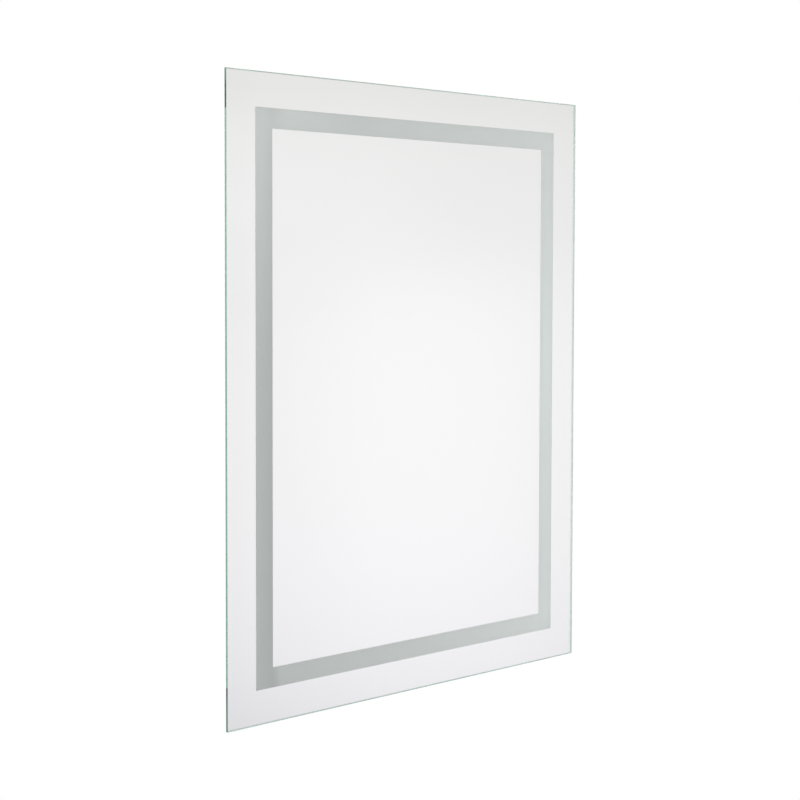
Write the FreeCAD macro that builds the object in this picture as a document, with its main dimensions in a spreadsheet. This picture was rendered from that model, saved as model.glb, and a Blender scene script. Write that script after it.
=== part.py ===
import FreeCAD, Part
import math
import os
import Sketcher
from FreeCAD import Placement, Rotation, Vector

# Lighted bathroom mirror. A frameless glass with an etched light band is bonded to a hollow
# aluminium frame, which holds the lamps, the driver and the rear panel. A hook rail on the panel
# hangs on a wall rail.
#
# Millimetres. X runs to the viewer's right, Z up, and the glass faces -Y. The wall is the plane
# Y = 0, and the origin is the middle of the wall rail's screw line. "Depth" is the distance in
# front of the wall, so it grows towards the viewer, and Y is minus the depth.

doc = FreeCAD.newDocument("LightedMirror")
sub_parts = []

sizes = {
    # glass, its polished arris, its etched band and the coating on its back
    "glass_width": 600,
    "glass_height": 800,
    "glass_thick": 4,
    "arris": 0.25,
    "band_inset": 43,
    "band_width": 25,
    "etch_depth": 0.15,
    "silver_thick": 0.2,
    "silver_inset": 1,
    # bonding tape between the coating and the frame's front flange
    "tape_width": 8,
    "tape_thick": 1,
    "tape_edge": 0.5,
    # hollow frame section: the outer wall, front flange, key chamber, screw channel and rear ledge
    "frame_inset": 33,
    "frame_depth": 28,
    "frame_wall": 1.4,
    "flange_reach": 9,
    "ledge_reach": 11,
    "ledge_thick": 1.6,
    "web_thick": 1.2,
    "chamber_width": 5.5,
    "chamber_height": 12,
    "chamber_setback": 8,
    # corner keys inside the chambers
    "key_leg": 35,
    "key_clear": 0.1,
    "key_chamfer": 1.2,
    # lamp tape on the chambers' inner webs, and its chips
    "strip_width": 8,
    "strip_thick": 0.4,
    "strip_end": 20,
    "chip_length": 3.5,
    "chip_width": 2.8,
    "chip_thick": 0.7,
    "chip_pitch": 16.67,
    "chip_margin": 10,
    # flat flexible jumpers that carry the current from one tape's end round a corner to the next
    "jumper_thick": 0.3,
    "jumper_width": 6,
    "jumper_overlap": 6,
    "jumper_bend": 10,
    # rear panel in the frame's rebate, its two banks of vents by the driver, and its screws
    "panel_thick": 1,
    "panel_clear": 0.3,
    "panel_corner": 2,
    "vent_count": 4,
    "vent_length": 50,
    "vent_radius": 1.5,
    "vent_pitch": 8,
    "vent_gap": 16,
    "side_screw_end": 30,
    "side_screw_count": 3,
    "low_screw_end": 45,
    "low_screw_count": 3,
    "screw_head_radius": 3,
    "screw_head_height": 1.8,
    "screw_radius": 1.45,
    "screw_length": 6,
    "screw_clear": 0.25,
    "thread_clear": 0.05,
    # rails: folded sheet, both of the same thickness
    "wall_gap": 9,
    "rail_thick": 1.5,
    "bend_radius": 0.5,
    "rail_foot": 12,
    "rail_rise": 14,
    "lip_height": 14,
    "lip_clear": 2,
    "hook_play": 0.5,
    "hook_engage": 13,
    "hook_screw_rise": 16.6,
    "hook_edge": 3.6,
    "wall_rail_length": 360,
    "hook_rail_length": 440,
    "hook_screw_span": 400,
    "hook_screw_count": 4,
    "hook_screw_length": 8,
    "wall_slot_spacing": 240,
    "wall_slot_length": 20,
    "wall_slot_radius": 2.75,
    "lock_hole_spacing": 320,
    # rubber wall spacers at the lower corners
    "spacer_radius": 12,
    "spacer_chamfer": 1,
    "spacer_bore": 2,
    "spacer_recess_radius": 4.5,
    "spacer_recess": 5,
    "spacer_inset": 45,
    "spacer_rise": 40,
    "spacer_screw_length": 10,
    # terminal box let into the panel, with its lid and cable grommet
    "box_x": -120,
    "box_drop": 160,
    "box_width": 90,
    "box_height": 50,
    "box_depth": 20,
    "box_wall": 2,
    "box_flange": 6,
    "box_flange_thick": 1.5,
    "box_corner": 4,
    "box_clear": 0.5,
    "boss_radius": 3.6,
    "boss_inset": 6,
    "lid_thick": 2,
    "lid_rib": 1.2,
    "lid_rib_depth": 2,
    "lid_screw_length": 8,
    "grommet_shift": -25,
    "grommet_hole_radius": 6,
    "grommet_lip": 2.5,
    "grommet_lip_thick": 1.5,
    "grommet_chamfer": 0.8,
    "grommet_bore_radius": 3.6,
    "grommet_clear": 0.1,
    # three-pole terminal block on the box's floor
    "block_shift": 8,
    "block_width": 20,
    "block_height": 14,
    "pole_pitch": 10,
    "pole_count": 3,
    "pole_well_radius": 2.6,
    "pole_well_depth": 6,
    "pole_entry": 4.2,
    "pole_entry_depth": 4,
    "block_margin": 1,
    # lamp driver
    "driver_x": 85,
    "driver_length": 150,
    "driver_width": 42,
    "driver_height": 18,
    "driver_wall": 1.6,
    "driver_corner": 3,
    "driver_lid_thick": 2,
    "driver_ear": 12,
    "driver_ear_width": 20,
    "driver_screw_length": 5,
    "board_thick": 1.6,
    "board_clear": 0.5,
    "post_height": 3,
    "post_size": 4,
    "post_inset": 7,
    "connector_setback": 8,
    "connector_length": 12,
    "connector_width": 18,
    "connector_height": 9,
    "choke_shift": -21,
    "choke_length": 14,
    "choke_width": 16,
    "choke_height": 8.5,
    "transformer_shift": 8,
    "transformer_length": 24,
    "transformer_width": 22,
    "transformer_height": 10,
    "heat_sink_shift": 47,
    "heat_sink_length": 3,
    "heat_sink_width": 26,
    "heat_sink_height": 9,
    "capacitor_shift": 36,
    "capacitor_offset": 6,
    "capacitor_radius": 5,
    "capacitor_height": 9.5,
    # demister on the back of the mirror
    "demister_width": 300,
    "demister_height": 400,
    "demister_thick": 0.4,
    "track_thick": 0.15,
    "track_width": 3,
    "track_rows": 12,
    "track_margin": 12,
    "demister_lead_drop": 40,
    "demister_boss": 14,
    "demister_boss_thick": 1.6,
    # touchless sensor behind a slot in the lower bar
    "sensor_x": 200,
    "sensor_length": 30,
    "sensor_play": 0.3,
    "sensor_corner": 0.8,
    "sensor_height": 6,
    "sensor_slot_length": 14,
    "sensor_slot_width": 4,
    "sensor_entry": 8,
    "window_clear": 0.2,
    "window_flange": 1.5,
    "window_flange_thick": 0.8,
    # earth stud on the panel
    "earth_x": -45,
    "earth_rise": 44,
    "earth_stud_radius": 2,
    "earth_stud_length": 8,
    "earth_head_radius": 3.2,
    "earth_head_thick": 0.6,
    "earth_nut_flats": 7,
    "earth_nut_thick": 3.2,
    "earth_washer_radius": 4.5,
    "earth_washer_thick": 0.8,
    "earth_tag_radius": 4.2,
    "earth_tag_thick": 0.8,
    "earth_barrel_radius": 2,
    "earth_barrel_length": 9,
    "earth_clear": 0.1,
    # internal leads and the clips on the long one
    "mains_lead_radius": 3,
    "sensor_lead_radius": 2,
    "lamp_lead_radius": 1.2,
    "demister_lead_radius": 2.2,
    "earth_lead_radius": 1.3,
    "lead_clear": 0.2,
    "lead_rise": 10,
    "lead_lift": 0.5,
    "lead_seat": 1,
    "earth_lead_drop": 7,
    "run_drop": 42,
    "run_rise": 44,
    "bay_rise": 20,
    "landing_inset": 4,
    "clip_width": 14,
    "clip_length": 8,
    "clip_cover": 1.6,
    "clip_count": 3,
    "clip_round": 2,
    "clip_clear": 0.15,
    "clip_margin": 70,
    # how far a cut runs past the material on each side
    "cut_past": 0.5,
}

layout = {
    # depths of the stack, from the wall forward
    "panel_face": "Sizes.wall_gap + Sizes.panel_thick",
    "frame_front": "Sizes.wall_gap + Sizes.frame_depth",
    "silver_back": "Layout.frame_front + Sizes.tape_thick",
    "glass_back": "Layout.silver_back + Sizes.silver_thick",
    "glass_front": "Layout.glass_back + Sizes.glass_thick",
    # the hook's web sits on the wall lip's top, and everything on the mirror hangs from there
    "seat": "Sizes.rail_rise + Sizes.lip_height",
    "hook_screw_z": "Layout.seat + Sizes.hook_screw_rise",
    "frame_top": "Layout.hook_screw_z + Layout.screw_line",
    "glass_top": "Layout.frame_top + Sizes.frame_inset",
    "glass_bottom": "Layout.glass_top - Sizes.glass_height",
    "frame_bottom": "Layout.glass_bottom + Sizes.frame_inset",
    "middle": "(Layout.glass_top + Layout.glass_bottom) / 2",
    "frame_width": "Sizes.glass_width - 2 * Sizes.frame_inset",
    "frame_height": "Sizes.glass_height - 2 * Sizes.frame_inset",
    # key chamber and inner web, measured in from the frame's outer face
    "chamber_front": "Layout.frame_front - Sizes.chamber_setback",
    "chamber_rear": "Layout.chamber_front - Sizes.chamber_height",
    "chamber_depth": "(Layout.chamber_front + Layout.chamber_rear) / 2",
    "chamber_inner": "Sizes.frame_wall + Sizes.chamber_width",
    "web_inner": "Layout.chamber_inner + Sizes.web_thick",
    "channel_half": "Sizes.screw_radius + Sizes.thread_clear",
    "channel_inner": "Layout.web_inner - Sizes.web_thick",
    "channel_floor": "Layout.chamber_rear - Sizes.web_thick",
    "screw_line": "Layout.channel_inner - Layout.channel_half",
    "ledge_rear": "Sizes.wall_gap + Sizes.panel_thick",
    "strip_face": "Layout.web_inner + Sizes.strip_thick",
    # lips of the two rails
    "wall_lip_front": "Sizes.wall_gap - Sizes.lip_clear",
    "wall_lip_rear": "Layout.wall_lip_front - Sizes.rail_thick",
    "hook_lip_front": "Layout.wall_lip_rear - Sizes.hook_play",
    "hook_lip_rear": "Layout.hook_lip_front - Sizes.rail_thick",
    "hook_bottom": "Layout.seat - Sizes.hook_engage",
    "hook_top": "Layout.hook_screw_z + Sizes.hook_edge",
    # screw rows of the panel
    "screw_x": "Layout.frame_width / 2 - Layout.screw_line",
    "side_screw_top": "Layout.frame_top - Sizes.side_screw_end",
    "side_screw_span": "Layout.frame_height - 2 * Sizes.side_screw_end",
    "low_screw_z": "Layout.frame_bottom + Layout.screw_line",
    "low_screw_span": "Layout.frame_width - 2 * Sizes.low_screw_end",
    "spacer_x": "Layout.frame_width / 2 - Sizes.spacer_inset",
    "spacer_z": "Layout.frame_bottom + Sizes.spacer_rise",
    # terminal box and driver share one height, and leads leave both at one depth
    "service_z": "Layout.frame_top - Sizes.box_drop",
    "lead_depth": "Layout.panel_face + Sizes.lead_rise",
    "box_right": "Sizes.box_x + Sizes.box_width / 2",
    "box_floor": "Sizes.wall_gap + Sizes.box_depth - Sizes.box_wall",
    "box_rear": "Sizes.wall_gap - Sizes.box_flange_thick",
    "box_low": "Layout.service_z - Sizes.box_height / 2",
    "lid_rear": "Layout.box_rear - Sizes.lid_thick",
    "boss_x": "Sizes.box_width / 2 - Sizes.boss_inset",
    "boss_z": "Sizes.box_height / 2 - Sizes.boss_inset",
    "grommet_x": "Sizes.box_x + Sizes.grommet_shift",
    "block_x": "Sizes.box_x + Sizes.block_shift",
    "block_right": "Layout.block_x + Sizes.block_width / 2",
    "driver_left": "Sizes.driver_x - Sizes.driver_length / 2",
    "driver_right": "Sizes.driver_x + Sizes.driver_length / 2",
    "driver_top": "Layout.panel_face + Sizes.driver_height",
    "board_low": "Layout.panel_face + Sizes.driver_wall + Sizes.post_height",
    "board_top": "Layout.board_low + Sizes.board_thick",
    "connector_left": "Layout.driver_left + Sizes.connector_setback",
    "connector_right": "Layout.driver_right - Sizes.connector_setback",
    "vent_reach": "Sizes.driver_width / 2 + Sizes.vent_gap",
    "post_span": "Sizes.driver_length - 2 * Sizes.post_inset",
    "post_rows": "Sizes.driver_width - 2 * Sizes.post_inset",
    # lamp tapes
    "strip_across": "Layout.frame_width - 2 * Sizes.strip_end",
    "strip_down": "Layout.frame_height - 2 * Sizes.strip_end",
    "chips_across": "floor((Layout.strip_across - 2 * Sizes.chip_margin) / Sizes.chip_pitch) + 1",
    "chips_down": "floor((Layout.strip_down - 2 * Sizes.chip_margin) / Sizes.chip_pitch) + 1",
    # demister and sensor
    "demister_back": "Layout.silver_back - Sizes.demister_thick",
    "track_back": "Layout.demister_back - Sizes.track_thick",
    "boss_back": "Layout.demister_back - Sizes.demister_boss_thick",
    "demister_top": "Layout.middle + Sizes.demister_height / 2",
    "track_pitch": "(Sizes.demister_height - 2 * Sizes.track_margin) / (Sizes.track_rows - 1)",
    "bay_front": "Layout.frame_front - Sizes.frame_wall",
    "bay_rear": "Layout.chamber_front + Sizes.web_thick",
    "bay_depth": "(Layout.bay_front + Layout.bay_rear) / 2",
    "window_inner": "Sizes.frame_wall + Sizes.window_flange_thick",
    "sensor_inner": "Layout.window_inner + Sizes.sensor_height",
    "sensor_z": "Layout.frame_bottom + (Layout.window_inner + Layout.sensor_inner) / 2",
    # the demister's lead meets the first track that is far enough below the box
    "demister_lead_x": "Layout.block_right + Sizes.pole_pitch",
    "first_track": "Layout.demister_top - Sizes.track_margin",
    "boss_reach": "Layout.first_track - Layout.box_low + Sizes.demister_lead_drop",
    "boss_row": "ceil(Layout.boss_reach / Layout.track_pitch)",
    "demister_boss_z": "Layout.first_track - Layout.boss_row * Layout.track_pitch",
    # earth stud, whose tag's barrel points down to its lead
    "earth_z": "Layout.service_z + Sizes.earth_rise",
    "barrel_high": "Layout.earth_z - Sizes.earth_washer_radius - Sizes.earth_clear",
    "barrel_low": "Layout.barrel_high - Sizes.earth_barrel_length",
    "barrel_depth": "Layout.panel_face + Sizes.earth_barrel_radius + Sizes.earth_clear",
    # the long lead's straight run, from beside the driver down to the sensor
    "run_x": "Sizes.sensor_x - Sizes.sensor_entry",
    "run_depth": "Layout.panel_face + Sizes.sensor_lead_radius + Sizes.lead_lift",
    "run_top": "Layout.service_z - Sizes.run_drop",
    "run_bottom": "Layout.frame_bottom + Sizes.run_rise",
    "bay_top": "Layout.frame_bottom + Sizes.bay_rise",
    "sensor_top": "Layout.frame_bottom + Layout.sensor_inner",
    "landing_x": "Layout.strip_across / 2 - Sizes.landing_inset",
}


def new_sheet(name, cells):
    sheet = doc.addObject("Spreadsheet::Sheet", name)
    for row, (alias, content) in enumerate(cells.items(), start=1):
        sheet.set(f"A{row}", alias)
        sheet.set(f"B{row}", str(content))
        sheet.setAlias(f"B{row}", alias)
    return sheet


size_sheet = new_sheet("Sizes", sizes)
doc.recompute()
new_sheet("Layout", {alias: "=" + rule.replace("Layout.", "") for alias, rule in layout.items()})
doc.recompute()


def value(rule):
    return float(size_sheet.evalExpression(str(rule)))


# ---- sketches -------------------------------------------------------------------------------

FRONT = "XZ_Plane"  # sketch x is X, sketch y is Z, and it faces the viewer
SIDE = "YZ_Plane"  # sketch x is Y, sketch y is Z, and it faces +X
LEVEL = "XY_Plane"  # sketch x is X, sketch y is Y, and it faces up


def new_body(label, turn=0, x="0", z="0"):
    body = doc.addObject("PartDesign::Body", label)
    body.Label = label
    body.Placement = Placement(Vector(), Rotation(Vector(0, 1, 0), turn))
    body.setExpression("Placement.Base.x", x)
    body.setExpression("Placement.Base.z", z)
    sub_parts.append(body)
    return body


def datum(body, role):
    return next(item for item in body.Origin.OriginFeatures if item.Role == role)


# An empty sketch on one of the body's own planes, moved along x, y and the plane's normal.
def new_sketch(body, plane, out="0", x="0", y="0"):
    sketch = body.newObject("Sketcher::SketchObject", f"{body.Label}_sketch")
    sketch.AttachmentSupport = [(datum(body, plane), "")]
    sketch.MapMode = "FlatFace"
    sketch.setExpression("AttachmentOffset.Base.x", x)
    sketch.setExpression("AttachmentOffset.Base.y", y)
    sketch.setExpression("AttachmentOffset.Base.z", out)
    return sketch


def tie(sketch, kind, geometry, point, rule):
    constraint = Sketcher.Constraint(kind, -1, 1, geometry, point, value(rule))
    index = sketch.addConstraint(constraint)
    sketch.setExpression(f"Constraints[{index}]", rule)


def tie_point(sketch, geometry, point, x, y):
    tie(sketch, "DistanceX", geometry, point, x)
    tie(sketch, "DistanceY", geometry, point, y)


def tie_radius(sketch, geometry, radius):
    index = sketch.addConstraint(Sketcher.Constraint("Radius", geometry, value(radius)))
    sketch.setExpression(f"Constraints[{index}]", radius)


def outline(sketch, corners):
    first = sketch.GeometryCount
    points = [Vector(value(x), value(y), 0) for x, y in corners]
    count = len(points)
    for i in range(count):
        sketch.addGeometry(Part.LineSegment(points[i], points[(i + 1) % count]), False)
    for i in range(count):
        following = first + (i + 1) % count
        sketch.addConstraint(Sketcher.Constraint("Coincident", first + i, 2, following, 1))
    for i, (x, y) in enumerate(corners):
        tie_point(sketch, first + i, 1, x, y)


def rectangle(sketch, left, right, low, high):
    outline(sketch, [(left, low), (right, low), (right, high), (left, high)])


def centred(sketch, width, height, x="0", y="0"):
    rectangle(
        sketch,
        f"{x} - ({width}) / 2",
        f"{x} + ({width}) / 2",
        f"{y} - ({height}) / 2",
        f"{y} + ({height}) / 2",
    )


def circle(sketch, x, y, radius):
    centre = Vector(value(x), value(y), 0)
    round_edge = Part.Circle(centre, Vector(0, 0, 1), value(radius))
    index = sketch.addGeometry(round_edge, False)
    tie_point(sketch, index, 3, x, y)
    tie_radius(sketch, index, radius)


# A round-ended slot along the sketch's x.
def slot(sketch, x, y, length, radius):
    reach = f"(({length}) / 2 - ({radius}))"
    first = sketch.GeometryCount
    up = Vector(0, 0, 1)
    left = Vector(value(f"{x} - {reach}"), value(y), 0)
    right = Vector(value(f"{x} + {reach}"), value(y), 0)
    rise = Vector(0, value(radius), 0)
    quarter = math.pi / 2
    left_end = Part.ArcOfCircle(Part.Circle(left, up, rise.y), quarter, 3 * quarter)
    right_end = Part.ArcOfCircle(Part.Circle(right, up, rise.y), -quarter, quarter)
    sketch.addGeometry(left_end, False)
    sketch.addGeometry(Part.LineSegment(left - rise, right - rise), False)
    sketch.addGeometry(right_end, False)
    sketch.addGeometry(Part.LineSegment(right + rise, left + rise), False)
    for i in range(4):
        here = first + i
        following = first + (i + 1) % 4
        sketch.addConstraint(Sketcher.Constraint("Tangent", here, 2, following, 1))
    tie_point(sketch, first, 3, f"{x} - {reach}", y)
    tie_point(sketch, first + 2, 3, f"{x} + {reach}", y)
    tie_radius(sketch, first, radius)
    tie_radius(sketch, first + 2, radius)


# ---- features -------------------------------------------------------------------------------

def pad(body, sketch, length, back=False):
    feature = body.newObject("PartDesign::Pad", f"{body.Label}_pad")
    feature.Profile = sketch
    feature.setExpression("Length", length)
    feature.Reversed = back
    doc.recompute()
    return feature


# Cuts towards the wall from a front sketch, down from a level one and to -X from a side one,
# or the other way with ahead set. A cut that takes nothing away stops the build.
def pocket(body, sketch, length, ahead=False):
    doc.recompute()
    before = body.Shape.Volume
    feature = body.newObject("PartDesign::Pocket", f"{body.Label}_cut")
    feature.Profile = sketch
    feature.setExpression("Length", length)
    feature.Reversed = ahead
    doc.recompute()
    if body.Shape.Volume > before - 1e-6:
        raise ValueError(f"a cut in {body.Label} takes nothing away")
    return feature


# Repeats a feature along one of the body's axes, and along a second one where it is given.
def spread(body, feature, axis, length, count, axis_2=None, length_2="0", count_2="1", down=False):
    pattern = body.newObject("PartDesign::LinearPattern", f"{body.Label}_row")
    pattern.Originals = [feature]
    pattern.Direction = (datum(body, axis), [""])
    pattern.setExpression("Length", length)
    pattern.setExpression("Occurrences", count)
    if axis_2:
        pattern.Direction2 = (datum(body, axis_2), [""])
        pattern.setExpression("Length2", length_2)
        pattern.setExpression("Occurrences2", count_2)
        pattern.Reversed2 = down
    else:
        pattern.Reversed = down
    body.Tip = pattern
    doc.recompute()
    return pattern


# Turns a profile of (radius, depth) corners about a line square to the wall at x, z.
def turn_about(body, x, z, profile):
    sketch = new_sketch(body, LEVEL, out=z, x=x)
    outline(sketch, [(radius, f"-({depth})") for radius, depth in profile])
    feature = body.newObject("PartDesign::Revolution", f"{body.Label}_turned")
    feature.Profile = sketch
    feature.ReferenceAxis = (sketch, ["V_Axis"])
    feature.Angle = 360
    doc.recompute()
    return feature


def edge_names(body, wanted):
    edges = body.Tip.Shape.Edges
    return [f"Edge{i}" for i, edge in enumerate(edges, start=1) if wanted(edge)]


def finish_edges(body, kind, size_name, size, wanted):
    doc.recompute()
    names = edge_names(body, wanted)
    if not names:
        raise ValueError(f"no edge of {body.Label} is left to work")
    base = body.Tip
    feature = body.newObject(kind, f"{body.Label}_edge")
    feature.Base = (base, names)
    feature.setExpression(size_name, size)
    doc.recompute()
    return feature


def fillet(body, radius, wanted):
    return finish_edges(body, "PartDesign::Fillet", "Radius", radius, wanted)


def chamfer(body, size, wanted):
    return finish_edges(body, "PartDesign::Chamfer", "Size", size, wanted)


def straight(edge, axis):
    if len(edge.Vertexes) != 2 or edge.Curve.TypeId != "Part::GeomLine":
        return False
    run = edge.Vertexes[1].Point - edge.Vertexes[0].Point
    return run.cross(axis).Length < 1e-6


# True of an edge that runs square to the wall.
def is_corner(edge):
    return straight(edge, Vector(0, 1, 0))


# A straight edge along the body's X at one depth and height.
def bend_at(depth, height):
    def wanted(edge):
        place = edge.Vertexes[0].Point
        near = abs(place.y + value(depth)) < 1e-4 and abs(place.z - value(height)) < 1e-4
        return straight(edge, Vector(1, 0, 0)) and near

    return wanted


# ---- glass, coating and tape ----------------------------------------------------------------

def mirror_glass():
    body = new_body("mirror_glass", z="Layout.middle")
    sheet = new_sketch(body, FRONT, out="Layout.glass_back")
    centred(sheet, "Sizes.glass_width", "Sizes.glass_height")
    pad(body, sheet, "Sizes.glass_thick")
    faces = (-value("Layout.glass_back"), -value("Layout.glass_front"))

    def on_a_face(edge):
        return any(all(abs(v.Y - face) < 1e-6 for v in edge.Vertexes) for face in faces)

    chamfer(body, "Sizes.arris", on_a_face)
    band = new_sketch(body, FRONT, out="Layout.glass_back")
    for inset in ("Sizes.band_inset", "(Sizes.band_inset + Sizes.band_width)"):
        centred(band, f"Sizes.glass_width - 2 * {inset}", f"Sizes.glass_height - 2 * {inset}")
    pocket(body, band, "Sizes.etch_depth", ahead=True)


# The coating is cut through along the band, which leaves a border and an inner field.
def silver_backing():
    body = new_body("silver_backing", z="Layout.middle")
    coating = new_sketch(body, FRONT, out="Layout.silver_back")
    band_end = "(Sizes.band_inset + Sizes.band_width)"
    for inset in ("Sizes.silver_inset", "Sizes.band_inset", band_end):
        centred(coating, f"Sizes.glass_width - 2 * {inset}", f"Sizes.glass_height - 2 * {inset}")
    pad(body, coating, "Sizes.silver_thick")


# Each side has a frame of its own: local X along the side, local Z out of the mirror from the
# frame's outer face, so that "in" is minus local Z.
sides = {
    "top": (0, "0", "Layout.frame_top", "across"),
    "right": (90, "Layout.frame_width / 2", "Layout.middle", "down"),
    "bottom": (180, "0", "Layout.frame_bottom", "across"),
    "left": (270, "-Layout.frame_width / 2", "Layout.middle", "down"),
}
side_length = {"across": "Layout.frame_width", "down": "Layout.frame_height"}


def side_body(kind, side):
    turn, x, z, run = sides[side]
    return new_body(f"{kind}_{side}", turn, x, z), run


def bond_tape(side):
    body, run = side_body("bond_tape", side)
    ends = "2 * Sizes.tape_edge" if run == "across" else "2 * (Sizes.tape_edge + Sizes.tape_width)"
    length = f"({side_length[run]} - {ends})"
    strip = new_sketch(body, FRONT, out="Layout.frame_front")
    high = "-Sizes.tape_edge"
    low = "-Sizes.tape_edge - Sizes.tape_width"
    rectangle(strip, f"-{length} / 2", f"{length} / 2", low, high)
    pad(body, strip, "Sizes.tape_thick")


# ---- frame ----------------------------------------------------------------------------------

# The extruded section, in (depth, distance in from the outer face). The front flange carries the
# glass, the closed chamber takes the corner keys, the channel behind it takes the panel's screws
# anywhere along the bar, and the rear ledge and rim form the panel's rebate.
def frame_section(sketch):
    front = "Layout.frame_front"
    rear = "Sizes.wall_gap"
    wall = "Sizes.frame_wall"
    flange_back = f"{front} - {wall}"
    web_front = "Layout.chamber_front + Sizes.web_thick"
    ledge_front = "Layout.ledge_rear + Sizes.ledge_thick"
    channel_outer = "Layout.channel_inner - 2 * Layout.channel_half"
    section = [
        (front, "0"),
        (front, "Sizes.flange_reach"),
        (flange_back, "Sizes.flange_reach"),
        (flange_back, wall),
        (web_front, wall),
        (web_front, "Layout.web_inner"),
        (ledge_front, "Layout.web_inner"),
        (ledge_front, "Sizes.ledge_reach"),
        ("Layout.ledge_rear", "Sizes.ledge_reach"),
        ("Layout.ledge_rear", "Layout.channel_inner"),
        ("Layout.channel_floor", "Layout.channel_inner"),
        ("Layout.channel_floor", channel_outer),
        ("Layout.ledge_rear", channel_outer),
        ("Layout.ledge_rear", wall),
        (rear, wall),
        (rear, "0"),
    ]
    outline(sketch, [(f"-({depth})", f"-({inward})") for depth, inward in section])
    chamber = ("-Layout.chamber_front", "-Layout.chamber_rear")
    rectangle(sketch, *chamber, "-Layout.chamber_inner", f"-{wall}")


def mitre_ends(body, length):
    past = "Sizes.cut_past"
    reach = f"(Sizes.ledge_reach + {past})"
    half = f"{length} / 2"
    waste = new_sketch(body, FRONT, out=f"Layout.frame_front + {past}")
    for sign in ("-1", "1"):
        corners = [("0", "0"), (past, "0"), (past, f"-{reach}"), (f"-{reach}", f"-{reach}")]
        outline(waste, [(f"{sign} * ({half} + ({x}))", y) for x, y in corners])
    pocket(body, waste, f"Sizes.frame_depth + 2 * {past}")


def frame_bar(side):
    body, run = side_body("frame", side)
    length = side_length[run]
    section = new_sketch(body, SIDE, out=f"-{length} / 2")
    frame_section(section)
    pad(body, section, length)
    mitre_ends(body, length)
    if side == "bottom":
        window = new_sketch(body, LEVEL)
        place = ("-Sizes.sensor_x", "-Layout.bay_depth")
        slot(window, *place, "Sizes.sensor_slot_length", "Sizes.sensor_slot_width / 2")
        pocket(body, window, "Sizes.frame_wall + Sizes.cut_past")


# Corners are numbered by the turn that takes the top right one to them.
corners = {
    "top_right": (0, "Layout.frame_width / 2", "Layout.frame_top"),
    "bottom_right": (90, "Layout.frame_width / 2", "Layout.frame_bottom"),
    "bottom_left": (180, "-Layout.frame_width / 2", "Layout.frame_bottom"),
    "top_left": (270, "-Layout.frame_width / 2", "Layout.frame_top"),
}


def corner_key(corner):
    body = new_body(f"corner_key_{corner}", *corners[corner])
    elbow = new_sketch(body, FRONT, out="Layout.chamber_rear")
    outer = "-(Sizes.frame_wall + Sizes.key_clear)"
    inner = "-(Layout.chamber_inner - Sizes.key_clear)"
    tip = "-Sizes.key_leg"
    outline(
        elbow,
        [(outer, outer), (outer, tip), (inner, tip), (inner, inner), (tip, inner), (tip, outer)],
    )
    pad(body, elbow, "Sizes.chamber_height")
    reach = value(tip)

    def on_a_tip(edge):
        return is_corner(edge) and min(edge.Vertexes[0].X, edge.Vertexes[0].Z) < reach + 1e-6

    chamfer(body, "Sizes.key_chamfer", on_a_tip)


# ---- lamps ----------------------------------------------------------------------------------

def led_tape(side):
    body, run = side_body("led_tape", side)
    strip = new_sketch(body, LEVEL, out="-Layout.web_inner")
    centred(strip, f"Layout.strip_{run}", "Sizes.strip_width", y="-Layout.chamber_depth")
    pad(body, strip, "Sizes.strip_thick", back=True)


def led_chips(side):
    body, run = side_body("led_chips", side)
    count = f"Layout.chips_{run}"
    span = f"({count} - 1) * Sizes.chip_pitch"
    chip = new_sketch(body, LEVEL, out="-Layout.strip_face")
    size = ("Sizes.chip_length", "Sizes.chip_width")
    centred(chip, *size, x=f"-{span} / 2", y="-Layout.chamber_depth")
    first = pad(body, chip, "Sizes.chip_thick", back=True)
    spread(body, first, "X_Axis", span, count)


def led_jumper(corner):
    body = new_body(f"led_jumper_{corner}", *corners[corner])
    ribbon = new_sketch(body, FRONT, out="Layout.chamber_depth - Sizes.jumper_width / 2")
    outer = "-Layout.strip_face"
    inner = "-(Layout.strip_face + Sizes.jumper_thick)"
    far = "-(Sizes.strip_end + Sizes.jumper_overlap)"
    outline(
        ribbon,
        [(outer, far), (outer, outer), (far, outer), (far, inner), (inner, inner), (inner, far)],
    )
    pad(body, ribbon, "Sizes.jumper_width")
    bends = ((outer, "Sizes.jumper_bend"), (inner, "Sizes.jumper_bend - Sizes.jumper_thick"))
    for place, radius in bends:
        reach = value(place)

        def at_corner(edge):
            point = edge.Vertexes[0].Point
            return is_corner(edge) and abs(point.x - reach) + abs(point.z - reach) < 1e-4

        fillet(body, radius, at_corner)


# ---- rear panel and its screws --------------------------------------------------------------

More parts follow.
